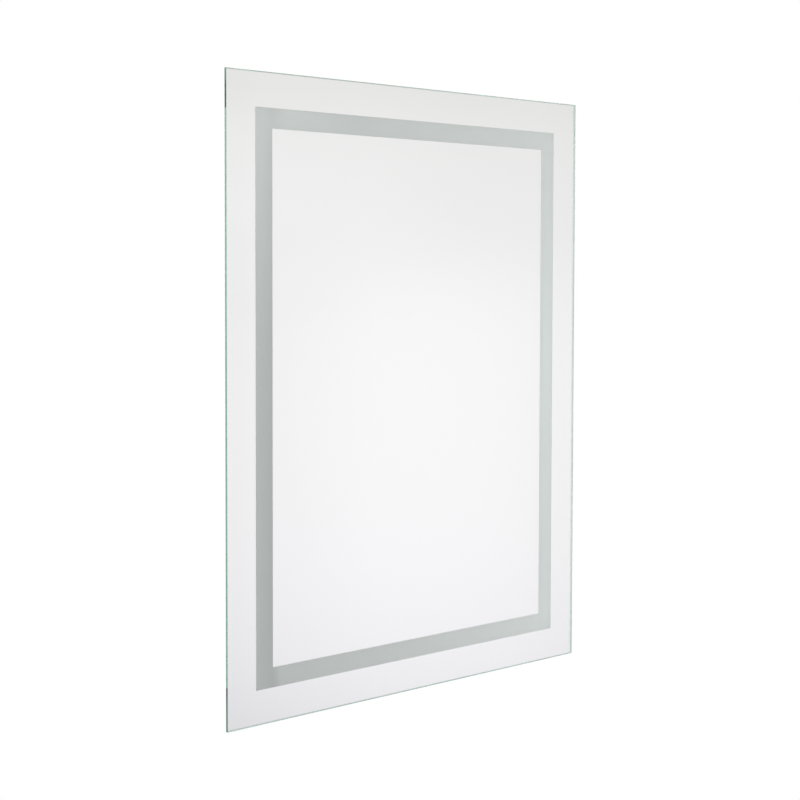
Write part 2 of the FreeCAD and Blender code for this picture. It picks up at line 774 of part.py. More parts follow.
def back_panel():
    body = new_body("back_panel")
    sheet = new_sketch(body, FRONT, out="Sizes.wall_gap")
    play = "2 * (Sizes.frame_wall + Sizes.panel_clear)"
    size = (f"Layout.frame_width - {play}", f"Layout.frame_height - {play}")
    centred(sheet, *size, y="Layout.middle")
    pad(body, sheet, "Sizes.panel_thick")
    fillet(body, "Sizes.panel_corner", is_corner)
    opening = new_sketch(body, FRONT, out="Sizes.wall_gap")
    size = ("Sizes.box_width + 2 * Sizes.box_clear", "Sizes.box_height + 2 * Sizes.box_clear")
    centred(opening, *size, x="Sizes.box_x", y="Layout.service_z")
    pocket(body, opening, "Sizes.panel_thick", ahead=True)
    clear = "Sizes.screw_radius + Sizes.screw_clear"
    rows = [
        (
            "-Sizes.hook_screw_span / 2",
            "Layout.hook_screw_z",
            "Sizes.hook_screw_span",
            "Sizes.hook_screw_count",
        ),
        (
            "-Layout.low_screw_span / 2",
            "Layout.low_screw_z",
            "Layout.low_screw_span",
            "Sizes.low_screw_count",
        ),
        ("-Layout.spacer_x", "Layout.spacer_z", "2 * Layout.spacer_x", "2"),
        (
            "Layout.driver_left - Sizes.driver_ear / 2",
            "Layout.service_z",
            "Sizes.driver_length + Sizes.driver_ear",
            "2",
        ),
    ]
    for x, z, span, count in rows:
        spread(body, panel_hole(body, x, z, clear), "X_Axis", span, count)
    edge = panel_hole(body, "-Layout.screw_x", "Layout.side_screw_top", clear)
    down = ("Z_Axis", "Layout.side_screw_span", "Sizes.side_screw_count", True)
    spread(body, edge, "X_Axis", "2 * Layout.screw_x", "2", *down)
    panel_hole(body, "Sizes.earth_x", "Layout.earth_z", "Sizes.earth_stud_radius")
    for sign, down in (("-1", True), ("1", False)):
        vent = new_sketch(body, FRONT, out="Sizes.wall_gap")
        z = f"Layout.service_z + {sign} * Layout.vent_reach"
        slot(vent, "Sizes.driver_x", z, "Sizes.vent_length", "Sizes.vent_radius")
        first = pocket(body, vent, "Sizes.panel_thick", ahead=True)
        run = "(Sizes.vent_count - 1) * Sizes.vent_pitch"
        spread(body, first, "Z_Axis", run, "Sizes.vent_count", down=down)


def panel_hole(body, x, z, radius):
    hole = new_sketch(body, FRONT, out="Sizes.wall_gap")
    circle(hole, x, z, radius)
    return pocket(body, hole, "Sizes.panel_thick", ahead=True)


# A pan-head screw: its head stands on seat_depth towards the wall, its shank goes forward, or
# both the other way round when it is driven from inside.
def screw(body, x, z, seat_depth, length, way="1"):
    head = f"{seat_depth} - {way} * Sizes.screw_head_height"
    tip = f"{seat_depth} + {way} * {length}"
    profile = [
        ("0", head),
        ("Sizes.screw_head_radius", head),
        ("Sizes.screw_head_radius", seat_depth),
        ("Sizes.screw_radius", seat_depth),
        ("Sizes.screw_radius", tip),
        ("0", tip),
    ]
    return turn_about(body, x, z, profile)


def panel_screws():
    body = new_body("panel_screws")
    shape = ("Sizes.wall_gap", "Sizes.screw_length")
    low = screw(body, "-Layout.low_screw_span / 2", "Layout.low_screw_z", *shape)
    spread(body, low, "X_Axis", "Layout.low_screw_span", "Sizes.low_screw_count")
    edge = screw(body, "-Layout.screw_x", "Layout.side_screw_top", *shape)
    down = ("Z_Axis", "Layout.side_screw_span", "Sizes.side_screw_count", True)
    spread(body, edge, "X_Axis", "2 * Layout.screw_x", "2", *down)


# ---- rails ----------------------------------------------------------------------------------

def rail(label, length, section, bends):
    body = new_body(label)
    profile = new_sketch(body, SIDE, out=f"-{length} / 2")
    outline(profile, [(f"-({depth})", height) for depth, height in section])
    pad(body, profile, length)
    for radius, corner_list in bends:
        for corner in corner_list:
            fillet(body, radius, bend_at(*corner))
    return body


def wall_rail():
    sheet = "Sizes.rail_thick"
    shelf = "Sizes.rail_rise"
    under = f"Sizes.rail_rise - {sheet}"
    front = "Layout.wall_lip_front"
    back = "Layout.wall_lip_rear"
    section = [
        ("0", "-Sizes.rail_foot"),
        (sheet, "-Sizes.rail_foot"),
        (sheet, under),
        (front, under),
        (front, "Layout.seat"),
        (back, "Layout.seat"),
        (back, shelf),
        ("0", shelf),
    ]
    bends = [
        ("Sizes.bend_radius", [(sheet, under), (back, shelf)]),
        (f"Sizes.bend_radius + {sheet}", [(front, under), ("0", shelf)]),
    ]
    body = rail("wall_rail", "Sizes.wall_rail_length", section, bends)
    fixing = new_sketch(body, FRONT, out=sheet)
    for sign in ("-1", "1"):
        x = f"{sign} * Sizes.wall_slot_spacing / 2"
        slot(fixing, x, "0", "Sizes.wall_slot_length", "Sizes.wall_slot_radius")
        circle(fixing, f"{sign} * Sizes.lock_hole_spacing / 2", "0", "Sizes.wall_slot_radius")
    pocket(body, fixing, sheet)


def hook_rail():
    sheet = "Sizes.rail_thick"
    plate = f"Sizes.wall_gap - {sheet}"
    front = "Layout.hook_lip_front"
    rear = "Layout.hook_lip_rear"
    shelf = f"Layout.seat + {sheet}"
    section = [
        ("Sizes.wall_gap", "Layout.seat"),
        ("Sizes.wall_gap", "Layout.hook_top"),
        (plate, "Layout.hook_top"),
        (plate, shelf),
        (rear, shelf),
        (rear, "Layout.hook_bottom"),
        (front, "Layout.hook_bottom"),
        (front, "Layout.seat"),
    ]
    bends = [
        ("Sizes.bend_radius", [(plate, shelf), (front, "Layout.seat")]),
        (f"Sizes.bend_radius + {sheet}", [("Sizes.wall_gap", "Layout.seat"), (rear, shelf)]),
    ]
    body = rail("hook_rail", "Sizes.hook_rail_length", section, bends)
    hole = new_sketch(body, FRONT, out=plate)
    clear = "Sizes.screw_radius + Sizes.screw_clear"
    circle(hole, "-Sizes.hook_screw_span / 2", "Layout.hook_screw_z", clear)
    first = pocket(body, hole, sheet, ahead=True)
    spread(body, first, "X_Axis", "Sizes.hook_screw_span", "Sizes.hook_screw_count")


def hook_rail_screws():
    body = new_body("hook_rail_screws")
    seat = "(Sizes.wall_gap - Sizes.rail_thick)"
    place = ("-Sizes.hook_screw_span / 2", "Layout.hook_screw_z")
    first = screw(body, *place, seat, "Sizes.hook_screw_length")
    spread(body, first, "X_Axis", "Sizes.hook_screw_span", "Sizes.hook_screw_count")


def wall_spacer(side, sign):
    body = new_body(f"wall_spacer_{side}")
    profile = [
        ("Sizes.spacer_bore", "Sizes.wall_gap"),
        ("Sizes.spacer_radius", "Sizes.wall_gap"),
        ("Sizes.spacer_radius", "Sizes.spacer_chamfer"),
        ("Sizes.spacer_radius - Sizes.spacer_chamfer", "0"),
        ("Sizes.spacer_recess_radius", "0"),
        ("Sizes.spacer_recess_radius", "Sizes.spacer_recess"),
        ("Sizes.spacer_bore", "Sizes.spacer_recess"),
    ]
    turn_about(body, f"{sign} * Layout.spacer_x", "Layout.spacer_z", profile)


def spacer_screws():
    body = new_body("spacer_screws")
    place = ("-Layout.spacer_x", "Layout.spacer_z")
    first = screw(body, *place, "Sizes.spacer_recess", "Sizes.spacer_screw_length")
    spread(body, first, "X_Axis", "2 * Layout.spacer_x", "2")


# ---- terminal box ---------------------------------------------------------------------------

def at_box(sketch, width, height):
    centred(sketch, width, height, x="Sizes.box_x", y="Layout.service_z")


def terminal_box():
    body = new_body("terminal_box")
    rim = new_sketch(body, FRONT, out="Layout.box_rear")
    at_box(rim, "Sizes.box_width + 2 * Sizes.box_flange", "Sizes.box_height + 2 * Sizes.box_flange")
    pad(body, rim, "Sizes.box_flange_thick")
    tub = new_sketch(body, FRONT, out="Sizes.wall_gap")
    at_box(tub, "Sizes.box_width", "Sizes.box_height")
    pad(body, tub, "Sizes.box_depth")
    fillet(body, "Sizes.box_corner", is_corner)
    hollow = new_sketch(body, FRONT, out="Layout.box_rear")
    at_box(hollow, "Sizes.box_width - 2 * Sizes.box_wall", "Sizes.box_height - 2 * Sizes.box_wall")
    pocket(body, hollow, "Layout.box_floor - Layout.box_rear", ahead=True)
    bosses = new_sketch(body, FRONT, out="Layout.box_rear")
    holes = new_sketch(body, FRONT, out="Layout.box_rear")
    for sign in ("-1", "1"):
        x = f"Sizes.box_x + {sign} * Layout.boss_x"
        z = f"Layout.service_z + {sign} * Layout.boss_z"
        circle(bosses, x, z, "Sizes.boss_radius")
        circle(holes, x, z, "Sizes.screw_radius + Sizes.thread_clear")
    pad(body, bosses, "Layout.box_floor - Layout.box_rear")
    pocket(body, holes, "Sizes.lid_screw_length", ahead=True)
    past = "Sizes.cut_past"
    through = f"Sizes.box_wall + 2 * {past}"
    exits = new_sketch(body, SIDE, out=f"Layout.box_right - Sizes.box_wall - {past}")
    upper = "Layout.service_z + Sizes.pole_pitch"
    mains = "Sizes.mains_lead_radius + Sizes.lead_clear"
    earth = "Sizes.earth_lead_radius + Sizes.lead_clear"
    circle(exits, "-Layout.lead_depth", "Layout.service_z", mains)
    circle(exits, "-Layout.lead_depth", upper, earth)
    pocket(body, exits, through, ahead=True)
    below = new_sketch(body, LEVEL, out=f"Layout.box_low - {past}")
    warm = "Sizes.demister_lead_radius + Sizes.lead_clear"
    circle(below, "Layout.demister_lead_x", "-Layout.lead_depth", warm)
    pocket(body, below, through, ahead=True)


def terminal_lid():
    body = new_body("terminal_lid")
    plate = new_sketch(body, FRONT, out="Layout.lid_rear")
    size = ("Sizes.box_width + 2 * Sizes.box_flange", "Sizes.box_height + 2 * Sizes.box_flange")
    at_box(plate, *size)
    pad(body, plate, "Sizes.lid_thick")
    fillet(body, "Sizes.box_corner", is_corner)
    rib = new_sketch(body, FRONT, out="Layout.box_rear")
    rib_reach = "2 * (Sizes.box_wall + Sizes.panel_clear)"
    rib_inner = "2 * (Sizes.box_wall + Sizes.panel_clear + Sizes.lid_rib)"
    at_box(rib, f"Sizes.box_width - {rib_reach}", f"Sizes.box_height - {rib_reach}")
    at_box(rib, f"Sizes.box_width - {rib_inner}", f"Sizes.box_height - {rib_inner}")
    pad(body, rib, "Sizes.lid_rib_depth")
    gaps = new_sketch(body, FRONT, out="Layout.box_rear")
    holes = new_sketch(body, FRONT, out="Layout.lid_rear")
    for sign in ("-1", "1"):
        x = f"Sizes.box_x + {sign} * Layout.boss_x"
        z = f"Layout.service_z + {sign} * Layout.boss_z"
        circle(gaps, x, z, "Sizes.boss_radius + Sizes.panel_clear")
        circle(holes, x, z, "Sizes.screw_radius + Sizes.screw_clear")
    circle(holes, "Layout.grommet_x", "Layout.service_z", "Sizes.grommet_hole_radius")
    pocket(body, gaps, "Sizes.lid_rib_depth", ahead=True)
    pocket(body, holes, "Sizes.lid_thick", ahead=True)


def terminal_screws():
    body = new_body("terminal_screws")
    for sign in ("-1", "1"):
        x = f"Sizes.box_x + {sign} * Layout.boss_x"
        z = f"Layout.service_z + {sign} * Layout.boss_z"
        screw(body, x, z, "Layout.lid_rear", "Sizes.lid_screw_length")


def cable_grommet():
    body = new_body("cable_grommet")
    neck = "Sizes.grommet_hole_radius - Sizes.grommet_clear"
    brim = "Sizes.grommet_hole_radius + Sizes.grommet_lip"
    rear = "Layout.lid_rear - Sizes.grommet_lip_thick"
    front = "Layout.box_rear + Sizes.grommet_lip_thick"
    profile = [
        ("Sizes.grommet_bore_radius", rear),
        (f"{brim} - Sizes.grommet_chamfer", rear),
        (brim, f"{rear} + Sizes.grommet_chamfer"),
        (brim, "Layout.lid_rear"),
        (neck, "Layout.lid_rear"),
        (neck, "Layout.box_rear"),
        (brim, "Layout.box_rear"),
        (brim, front),
        ("Sizes.grommet_bore_radius", front),
    ]
    turn_about(body, "Layout.grommet_x", "Layout.service_z", profile)


def terminal_block():
    body = new_body("terminal_block")
    tall = "Sizes.pole_pitch * Sizes.pole_count + 2 * Sizes.block_margin"
    reach = "(Sizes.pole_pitch * (Sizes.pole_count - 1))"
    base = new_sketch(body, FRONT, out="Layout.box_floor - Sizes.block_height")
    centred(base, "Sizes.block_width", tall, x="Layout.block_x", y="Layout.service_z")
    pad(body, base, "Sizes.block_height")
    top_pole = f"Layout.service_z + {reach} / 2"
    well = new_sketch(body, FRONT, out="Layout.box_floor - Sizes.block_height")
    circle(well, "Layout.block_x - Sizes.block_width / 4", top_pole, "Sizes.pole_well_radius")
    first = pocket(body, well, "Sizes.pole_well_depth", ahead=True)
    across = "Sizes.block_width / 2"
    spread(body, first, "X_Axis", across, "2", "Z_Axis", reach, "Sizes.pole_count", True)
    entry = new_sketch(body, SIDE, out="Layout.block_x - Sizes.block_width / 2")
    mouth = ("Sizes.pole_entry", "Sizes.pole_entry")
    centred(entry, *mouth, x="-Layout.lead_depth", y=top_pole)
    first = pocket(body, entry, "Sizes.pole_entry_depth", ahead=True)
    spread(body, first, "Z_Axis", reach, "Sizes.pole_count", down=True)


# ---- driver ---------------------------------------------------------------------------------

def at_driver(sketch, length, width):
    centred(sketch, length, width, x="Sizes.driver_x", y="Layout.service_z")


def driver_case():
    body = new_body("driver_case")
    tray = new_sketch(body, FRONT, out="Layout.panel_face")
    at_driver(tray, "Sizes.driver_length", "Sizes.driver_width")
    pad(body, tray, "Sizes.driver_height")
    fillet(body, "Sizes.driver_corner", is_corner)
    hollow = new_sketch(body, FRONT, out="Layout.driver_top")
    inside = "2 * Sizes.driver_wall"
    at_driver(hollow, f"Sizes.driver_length - {inside}", f"Sizes.driver_width - {inside}")
    pocket(body, hollow, "Sizes.driver_height - Sizes.driver_wall")
    posts = new_sketch(body, FRONT, out="Layout.panel_face + Sizes.driver_wall")
    left = "Layout.driver_left + Sizes.post_inset"
    low = "Layout.service_z - Layout.post_rows / 2"
    centred(posts, "Sizes.post_size", "Sizes.post_size", x=left, y=low)
    first = pad(body, posts, "Sizes.post_height")
    rows = ("Z_Axis", "Layout.post_rows", "2")
    spread(body, first, "X_Axis", "Layout.post_span", "2", *rows)
    ears = new_sketch(body, FRONT, out="Layout.panel_face")
    for end, start in (("1", "Layout.driver_right"), ("-1", "Layout.driver_left")):
        x = f"{start} + {end} * Sizes.driver_ear / 2"
        centred(ears, "Sizes.driver_ear", "Sizes.driver_ear_width", x=x, y="Layout.service_z")
    pad(body, ears, "Sizes.driver_wall")
    hole = new_sketch(body, FRONT, out="Layout.panel_face")
    clear = "Sizes.screw_radius + Sizes.screw_clear"
    circle(hole, "Layout.driver_left - Sizes.driver_ear / 2", "Layout.service_z", clear)
    first = pocket(body, hole, "Sizes.driver_wall", ahead=True)
    spread(body, first, "X_Axis", "Sizes.driver_length + Sizes.driver_ear", "2")
    for start, lead in (("Layout.driver_left", "mains"), ("Layout.driver_right", "sensor")):
        exit_hole = new_sketch(body, SIDE, out=f"{start} - Sizes.driver_wall - Sizes.cut_past")
        room = f"Sizes.{lead}_lead_radius + Sizes.lead_clear"
        circle(exit_hole, "-Layout.lead_depth", "Layout.service_z", room)
        pocket(body, exit_hole, "2 * (Sizes.driver_wall + Sizes.cut_past)", ahead=True)


def driver_lid():
    body = new_body("driver_lid")
    plate = new_sketch(body, FRONT, out="Layout.driver_top")
    at_driver(plate, "Sizes.driver_length", "Sizes.driver_width")
    pad(body, plate, "Sizes.driver_lid_thick")
    fillet(body, "Sizes.driver_corner", is_corner)
    rim = new_sketch(body, FRONT, out="Layout.driver_top")
    outer = "2 * (Sizes.driver_wall + Sizes.panel_clear)"
    inner = "2 * (Sizes.driver_wall + Sizes.panel_clear + Sizes.lid_rib)"
    at_driver(rim, f"Sizes.driver_length - {outer}", f"Sizes.driver_width - {outer}")
    at_driver(rim, f"Sizes.driver_length - {inner}", f"Sizes.driver_width - {inner}")
    pad(body, rim, "Sizes.lid_rib_depth", back=True)


def driver_board():
    body = new_body("driver_board")
    board = new_sketch(body, FRONT, out="Layout.board_low")
    play = "2 * (Sizes.driver_wall + Sizes.board_clear)"
    at_driver(board, f"Sizes.driver_length - {play}", f"Sizes.driver_width - {play}")
    pad(body, board, "Sizes.board_thick")


# Parts soldered to the board: a connector at each end, the filter choke, the transformer, the
# switching transistor's heat sink and two electrolytic capacitors.
def driver_components():
    body = new_body("driver_components")
    middles = {
        "connector": (
            "Layout.connector_left + Sizes.connector_length / 2",
            "Layout.connector_right - Sizes.connector_length / 2",
        ),
        "choke": ("Sizes.driver_x + Sizes.choke_shift",),
        "transformer": ("Sizes.driver_x + Sizes.transformer_shift",),
        "heat_sink": ("Sizes.driver_x + Sizes.heat_sink_shift",),
    }
    for part, places in middles.items():
        for x in places:
            block = new_sketch(body, FRONT, out="Layout.board_top")
            centred(block, f"Sizes.{part}_length", f"Sizes.{part}_width", x, "Layout.service_z")
            pad(body, block, f"Sizes.{part}_height")
    cans = new_sketch(body, FRONT, out="Layout.board_top")
    for sign in ("-1", "1"):
        x = f"Sizes.driver_x + {sign} * Sizes.capacitor_shift"
        z = f"Layout.service_z + {sign} * Sizes.capacitor_offset"
        circle(cans, x, z, "Sizes.capacitor_radius")
    pad(body, cans, "Sizes.capacitor_height")


def driver_screws():
    body = new_body("driver_screws")
    seat = "(Layout.panel_face + Sizes.driver_wall)"
    x = "Layout.driver_left - Sizes.driver_ear / 2"
    first = screw(body, x, "Layout.service_z", seat, "Sizes.driver_screw_length", way="-1")
    spread(body, first, "X_Axis", "Sizes.driver_length + Sizes.driver_ear", "2")


# ---- demister -------------------------------------------------------------------------------

def demister_pad():
    body = new_body("demister_pad")
    film = new_sketch(body, FRONT, out="Layout.demister_back")
    centred(film, "Sizes.demister_width", "Sizes.demister_height", y="Layout.middle")
    pad(body, film, "Sizes.demister_thick")
    fillet(body, "Sizes.box_corner", is_corner)


# One heating track runs to and fro across the film. A boss on one of its rows takes the lead.
def demister_element():
    body = new_body("demister_element")
    half = "(Sizes.demister_width / 2 - Sizes.track_margin)"
    top = "Layout.first_track"
    low = f"{top} - Sizes.track_width"
    pitch = "Layout.track_pitch"
    row = new_sketch(body, FRONT, out="Layout.track_back")
    rectangle(row, f"-{half}", half, low, top)
    first = pad(body, row, "Sizes.track_thick")
    run = f"({pitch} * (Sizes.track_rows - 1))"
    spread(body, first, "Z_Axis", run, "Sizes.track_rows", down=True)
    turns = [
        (f"{half} - Sizes.track_width", half, "0", "ceil((Sizes.track_rows - 1) / 2)"),
        (f"-{half}", f"Sizes.track_width - {half}", pitch, "floor((Sizes.track_rows - 1) / 2)"),
    ]
    for left, right, drop, count in turns:
        link = new_sketch(body, FRONT, out="Layout.track_back")
        rectangle(link, left, right, f"{low} - {drop} - {pitch}", f"{top} - {drop}")
        first = pad(body, link, "Sizes.track_thick")
        spread(body, first, "Z_Axis", f"2 * {pitch} * ({count} - 1)", count, down=True)
    boss = new_sketch(body, FRONT, out="Layout.boss_back")
    size = ("Sizes.demister_boss", "Sizes.demister_boss")
    centred(boss, *size, x="Layout.demister_lead_x", y="Layout.demister_boss_z")
    pad(body, boss, "Sizes.demister_boss_thick")


# ---- touchless sensor -----------------------------------------------------------------------

def sensor_module():
    body = new_body("sensor_module")
    case = new_sketch(body, FRONT, out="Layout.bay_rear + Sizes.sensor_play")
    height = "Sizes.sensor_height"
    centred(case, "Sizes.sensor_length", height, x="Sizes.sensor_x", y="Layout.sensor_z")
    pad(body, case, "Layout.bay_front - Layout.bay_rear - 2 * Sizes.sensor_play")
    fillet(body, "Sizes.sensor_corner", is_corner)


# The clear window fills the slot, and its flange lies inside the bar's outer wall.
def sensor_lens():
    body = new_body("sensor_lens")
    place = ("Sizes.sensor_x", "-Layout.bay_depth")
    face = new_sketch(body, LEVEL, out="Layout.frame_bottom")
    long_way = "(Sizes.sensor_slot_length - 2 * Sizes.window_clear)"
    slot(face, *place, long_way, "Sizes.sensor_slot_width / 2 - Sizes.window_clear")
    pad(body, face, "Sizes.frame_wall")
    flange = new_sketch(body, LEVEL, out="Layout.frame_bottom + Sizes.frame_wall")
    room = "Layout.bay_front - Layout.bay_rear - 2 * Sizes.sensor_play"
    centred(flange, f"{long_way} + 2 * Sizes.window_flange", room, *place)
    pad(body, flange, "Sizes.window_flange_thick")


# ---- earth stud -----------------------------------------------------------------------------

def earth_stud():
    body = new_body("earth_stud")
    end = "Layout.panel_face + Sizes.earth_stud_length"
    head = "Sizes.earth_head_thick"
    profile = [
        ("0", f"Sizes.wall_gap - {head}"),
        ("Sizes.earth_head_radius", f"Sizes.wall_gap - {head}"),
        ("Sizes.earth_head_radius", "Sizes.wall_gap"),
        ("Sizes.earth_stud_radius", "Sizes.wall_gap"),
        ("Sizes.earth_stud_radius", f"{end} - {head}"),
        (f"Sizes.earth_stud_radius - {head}", end),
        ("0", end),
    ]
    turn_about(body, "Sizes.earth_x", "Layout.earth_z", profile)


# The ring tag lies on the panel, and its barrel points down and holds the lead.
def earth_tag():
    body = new_body("earth_tag")
    ring = new_sketch(body, FRONT, out="Layout.panel_face")
    circle(ring, "Sizes.earth_x", "Layout.earth_z", "Sizes.earth_tag_radius")
    pad(body, ring, "Sizes.earth_tag_thick")
    neck = new_sketch(body, FRONT, out="Layout.panel_face")
    half = "Sizes.earth_barrel_radius"
    left, right = f"Sizes.earth_x - {half}", f"Sizes.earth_x + {half}"
    rectangle(neck, left, right, "Layout.barrel_high - Sizes.lead_seat", "Layout.earth_z")
    pad(body, neck, "Sizes.earth_tag_thick")
    barrel = new_sketch(body, LEVEL, out="Layout.barrel_low")
    circle(barrel, "Sizes.earth_x", "-Layout.barrel_depth", "Sizes.earth_barrel_radius")
    pad(body, barrel, "Sizes.earth_barrel_length")
    bore = new_sketch(body, LEVEL, out="Layout.barrel_low")
    wire = "Sizes.earth_lead_radius + Sizes.thread_clear"
    circle(bore, "Sizes.earth_x", "-Layout.barrel_depth", wire)
    pocket(body, bore, "Sizes.earth_barrel_length", ahead=True)
    hole = new_sketch(body, FRONT, out="Layout.panel_face")
    stud = "Sizes.earth_stud_radius + Sizes.earth_clear"
    circle(hole, "Sizes.earth_x", "Layout.earth_z", stud)
    pocket(body, hole, "Sizes.earth_tag_thick", ahead=True)


def earth_washer():
    body = new_body("earth_washer")
    ring = new_sketch(body, FRONT, out="Layout.panel_face + Sizes.earth_tag_thick")
    circle(ring, "Sizes.earth_x", "Layout.earth_z", "Sizes.earth_washer_radius")
    stud = "Sizes.earth_stud_radius + Sizes.earth_clear"
    circle(ring, "Sizes.earth_x", "Layout.earth_z", stud)
    pad(body, ring, "Sizes.earth_washer_thick")


def earth_nut():
    body = new_body("earth_nut")
    under = "Layout.panel_face + Sizes.earth_tag_thick + Sizes.earth_washer_thick"
    hexagon = new_sketch(body, FRONT, out=under)
    reach = "Sizes.earth_nut_flats / 2 / cos(30deg)"
    points = []
    for i in range(6):
        x = f"Sizes.earth_x + {reach} * cos({60 * i}deg)"
        z = f"Layout.earth_z + {reach} * sin({60 * i}deg)"
        points.append((x, z))
    outline(hexagon, points)
    thread = "Sizes.earth_stud_radius + Sizes.thread_clear"
    circle(hexagon, "Sizes.earth_x", "Layout.earth_z", thread)
    pad(body, hexagon, "Sizes.earth_nut_thick")


# ---- internal leads -------------------------------------------------------------------------

# A lead is a round tube along straight runs joined by tangent arcs. Each arc takes turn_share of
# the shorter of its two runs. Stops are (x, depth, z).
turn_share = 0.45


def lead(label, radius_rule, stops):
    radius = value(radius_rule)
    points = [Vector(value(x), -value(depth), value(z)) for x, depth, z in stops]
    edges = []
    bends = []
    start = points[0]
    for before, here, after in zip(points, points[1:], points[2:]):
        arriving = (here - before).normalize()
        leaving = (after - here).normalize()
        half_turn = arriving.getAngle(leaving) / 2
        cut_back = turn_share * min((here - before).Length, (after - here).Length)
        bend = cut_back / math.tan(half_turn)
        begin = here - arriving * cut_back
        end = here + leaving * cut_back
        inward = (leaving - arriving).normalize()
        middle = here + inward * (bend / math.cos(half_turn) - bend)
        edges.append(Part.LineSegment(start, begin).toShape())
        edges.append(Part.Arc(begin, middle, end).toShape())
        bends.append(round(bend, 1))
        start = end
    edges.append(Part.LineSegment(start, points[-1]).toShape())
    path = Part.Wire(edges)
    ring = Part.Wire([Part.Circle(points[0], points[1] - points[0], radius).toShape()])
    tube = path.makePipeShell([ring], True, False)
    error = tube.Volume / (math.pi * radius**2 * path.Length) - 1
    if abs(error) > 0.01:
        raise ValueError(f"{label} has the wrong volume")
    print(f"{label}: {path.Length:.0f} mm long, bends {bends}")
    feature = doc.addObject("Part::Feature", label)
    feature.Label = label
    feature.Shape = tube
    feature.Placement = Placement()
    sub_parts.append(feature)


def internal_leads():
    depth = "Layout.lead_depth"
    level = "Layout.service_z"
    block = "Layout.block_right"
    mains = [(block, depth, level), ("Layout.connector_left", depth, level)]
    lead("lead_mains_driver", "Sizes.mains_lead_radius", mains)
    upper = "Layout.service_z + Sizes.pole_pitch"
    barrel = "Layout.barrel_depth"
    earth = [
        (block, depth, upper),
        ("Sizes.earth_x", depth, upper),
        ("Sizes.earth_x", barrel, "Layout.barrel_low - Sizes.earth_lead_drop"),
        ("Sizes.earth_x", barrel, "Layout.barrel_high - Sizes.lead_seat"),
    ]
    lead("lead_earth", "Sizes.earth_lead_radius", earth)
    lower = "Layout.service_z - Sizes.pole_pitch"
    warm = "Layout.demister_lead_x"
    demister = [
        (block, depth, lower),
        (warm, depth, lower),
        (warm, depth, "Layout.demister_boss_z"),
        (warm, "Layout.boss_back", "Layout.demister_boss_z"),
    ]
    lead("lead_demister", "Sizes.demister_lead_radius", demister)
    run = "Layout.run_x"
    back = "Layout.run_depth"
    bay = "Layout.bay_depth"
    sensor = [
        ("Layout.connector_right", depth, level),
        (run, depth, level),
        (run, back, "Layout.run_top"),
        (run, back, "Layout.run_bottom"),
        (run, bay, "Layout.bay_top"),
        (run, bay, "Layout.sensor_top"),
    ]
    lead("lead_driver_sensor", "Sizes.sensor_lead_radius", sensor)
    out = "Sizes.sensor_x + Sizes.sensor_entry"
    landing = ("Layout.landing_x", "Layout.chamber_depth")
    lamp = [
        (out, bay, "Layout.sensor_top"),
        (out, bay, "Layout.bay_top"),
        (*landing, "Layout.bay_top"),
        (*landing, "Layout.frame_bottom + Layout.strip_face"),
    ]
    lead("lead_sensor_lamps", "Sizes.lamp_lead_radius", lamp)


def cable_clips():
    body = new_body("cable_clips")
    first_z = "Layout.run_top - Sizes.clip_margin"
    crown = "Layout.run_depth + Sizes.sensor_lead_radius + Sizes.clip_cover"
    block = new_sketch(body, LEVEL, out=first_z)
    half = "Sizes.clip_width / 2"
    left, right = f"Layout.run_x - {half}", f"Layout.run_x + {half}"
    rectangle(block, left, right, f"-({crown})", "-Layout.panel_face")
    pad(body, block, "Sizes.clip_length")
    front = -value(crown)

    def on_crown(edge):
        upright = straight(edge, Vector(0, 0, 1))
        return upright and abs(edge.Vertexes[0].Y - front) < 1e-6

    fillet(body, "Sizes.clip_round", on_crown)
    bore = new_sketch(body, LEVEL, out=first_z)
    circle(bore, "Layout.run_x", "-Layout.run_depth", "Sizes.sensor_lead_radius + Sizes.clip_clear")
    pocket(body, bore, "Sizes.clip_length", ahead=True)
    pattern = body.newObject("PartDesign::LinearPattern", "cable_clips_row")
    pattern.TransformMode = "Whole shape"
    pattern.Direction = (datum(body, "Z_Axis"), [""])
    pattern.setExpression("Length", "Layout.run_top - Layout.run_bottom - 2 * Sizes.clip_margin")
    pattern.setExpression("Occurrences", "Sizes.clip_count")
    pattern.Reversed = True
    pattern.Originals = []
    body.Tip = pattern
    doc.recompute()
    if len(body.Shape.Solids) != int(value("Sizes.clip_count")):
        raise ValueError("a clip is missing")


# ---- the whole mirror -----------------------------------------------------------------------

mirror_glass()
silver_backing()
for side in sides:
    bond_tape(side)
    frame_bar(side)
    led_tape(side)
    led_chips(side)
for corner in corners:
    corner_key(corner)
for corner in ("bottom_left", "top_left", "top_right"):
    led_jumper(corner)
back_panel()
panel_screws()
wall_rail()
hook_rail()
hook_rail_screws()
for side, sign in (("left", "-1"), ("right", "1")):
    wall_spacer(side, sign)
spacer_screws()
terminal_box()
terminal_lid()
terminal_screws()
cable_grommet()
terminal_block()
driver_case()
driver_lid()
driver_board()
driver_components()
driver_screws()
demister_pad()
demister_element()
sensor_module()
sensor_lens()
earth_stud()
earth_tag()
earth_washer()
earth_nut()
internal_leads()
cable_clips()

doc.recompute()
for item in doc.Objects:
    if {"Invalid", "Error"} & set(item.State):
        raise ValueError(f"{item.Name} failed: {item.State}")
for piece in sub_parts:
    if piece.Shape.isNull() or not piece.Shape.isValid() or not piece.Shape.Solids:
        raise ValueError(f"{piece.Label} has no valid solid")

os.makedirs("parts", exist_ok=True)
for piece in sub_parts:
    piece.Shape.exportStep(f"parts/{piece.Label}.step")
print(f"{len(sub_parts)} sub-parts written")
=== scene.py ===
import math

import bpy
from mathutils import Matrix, Vector


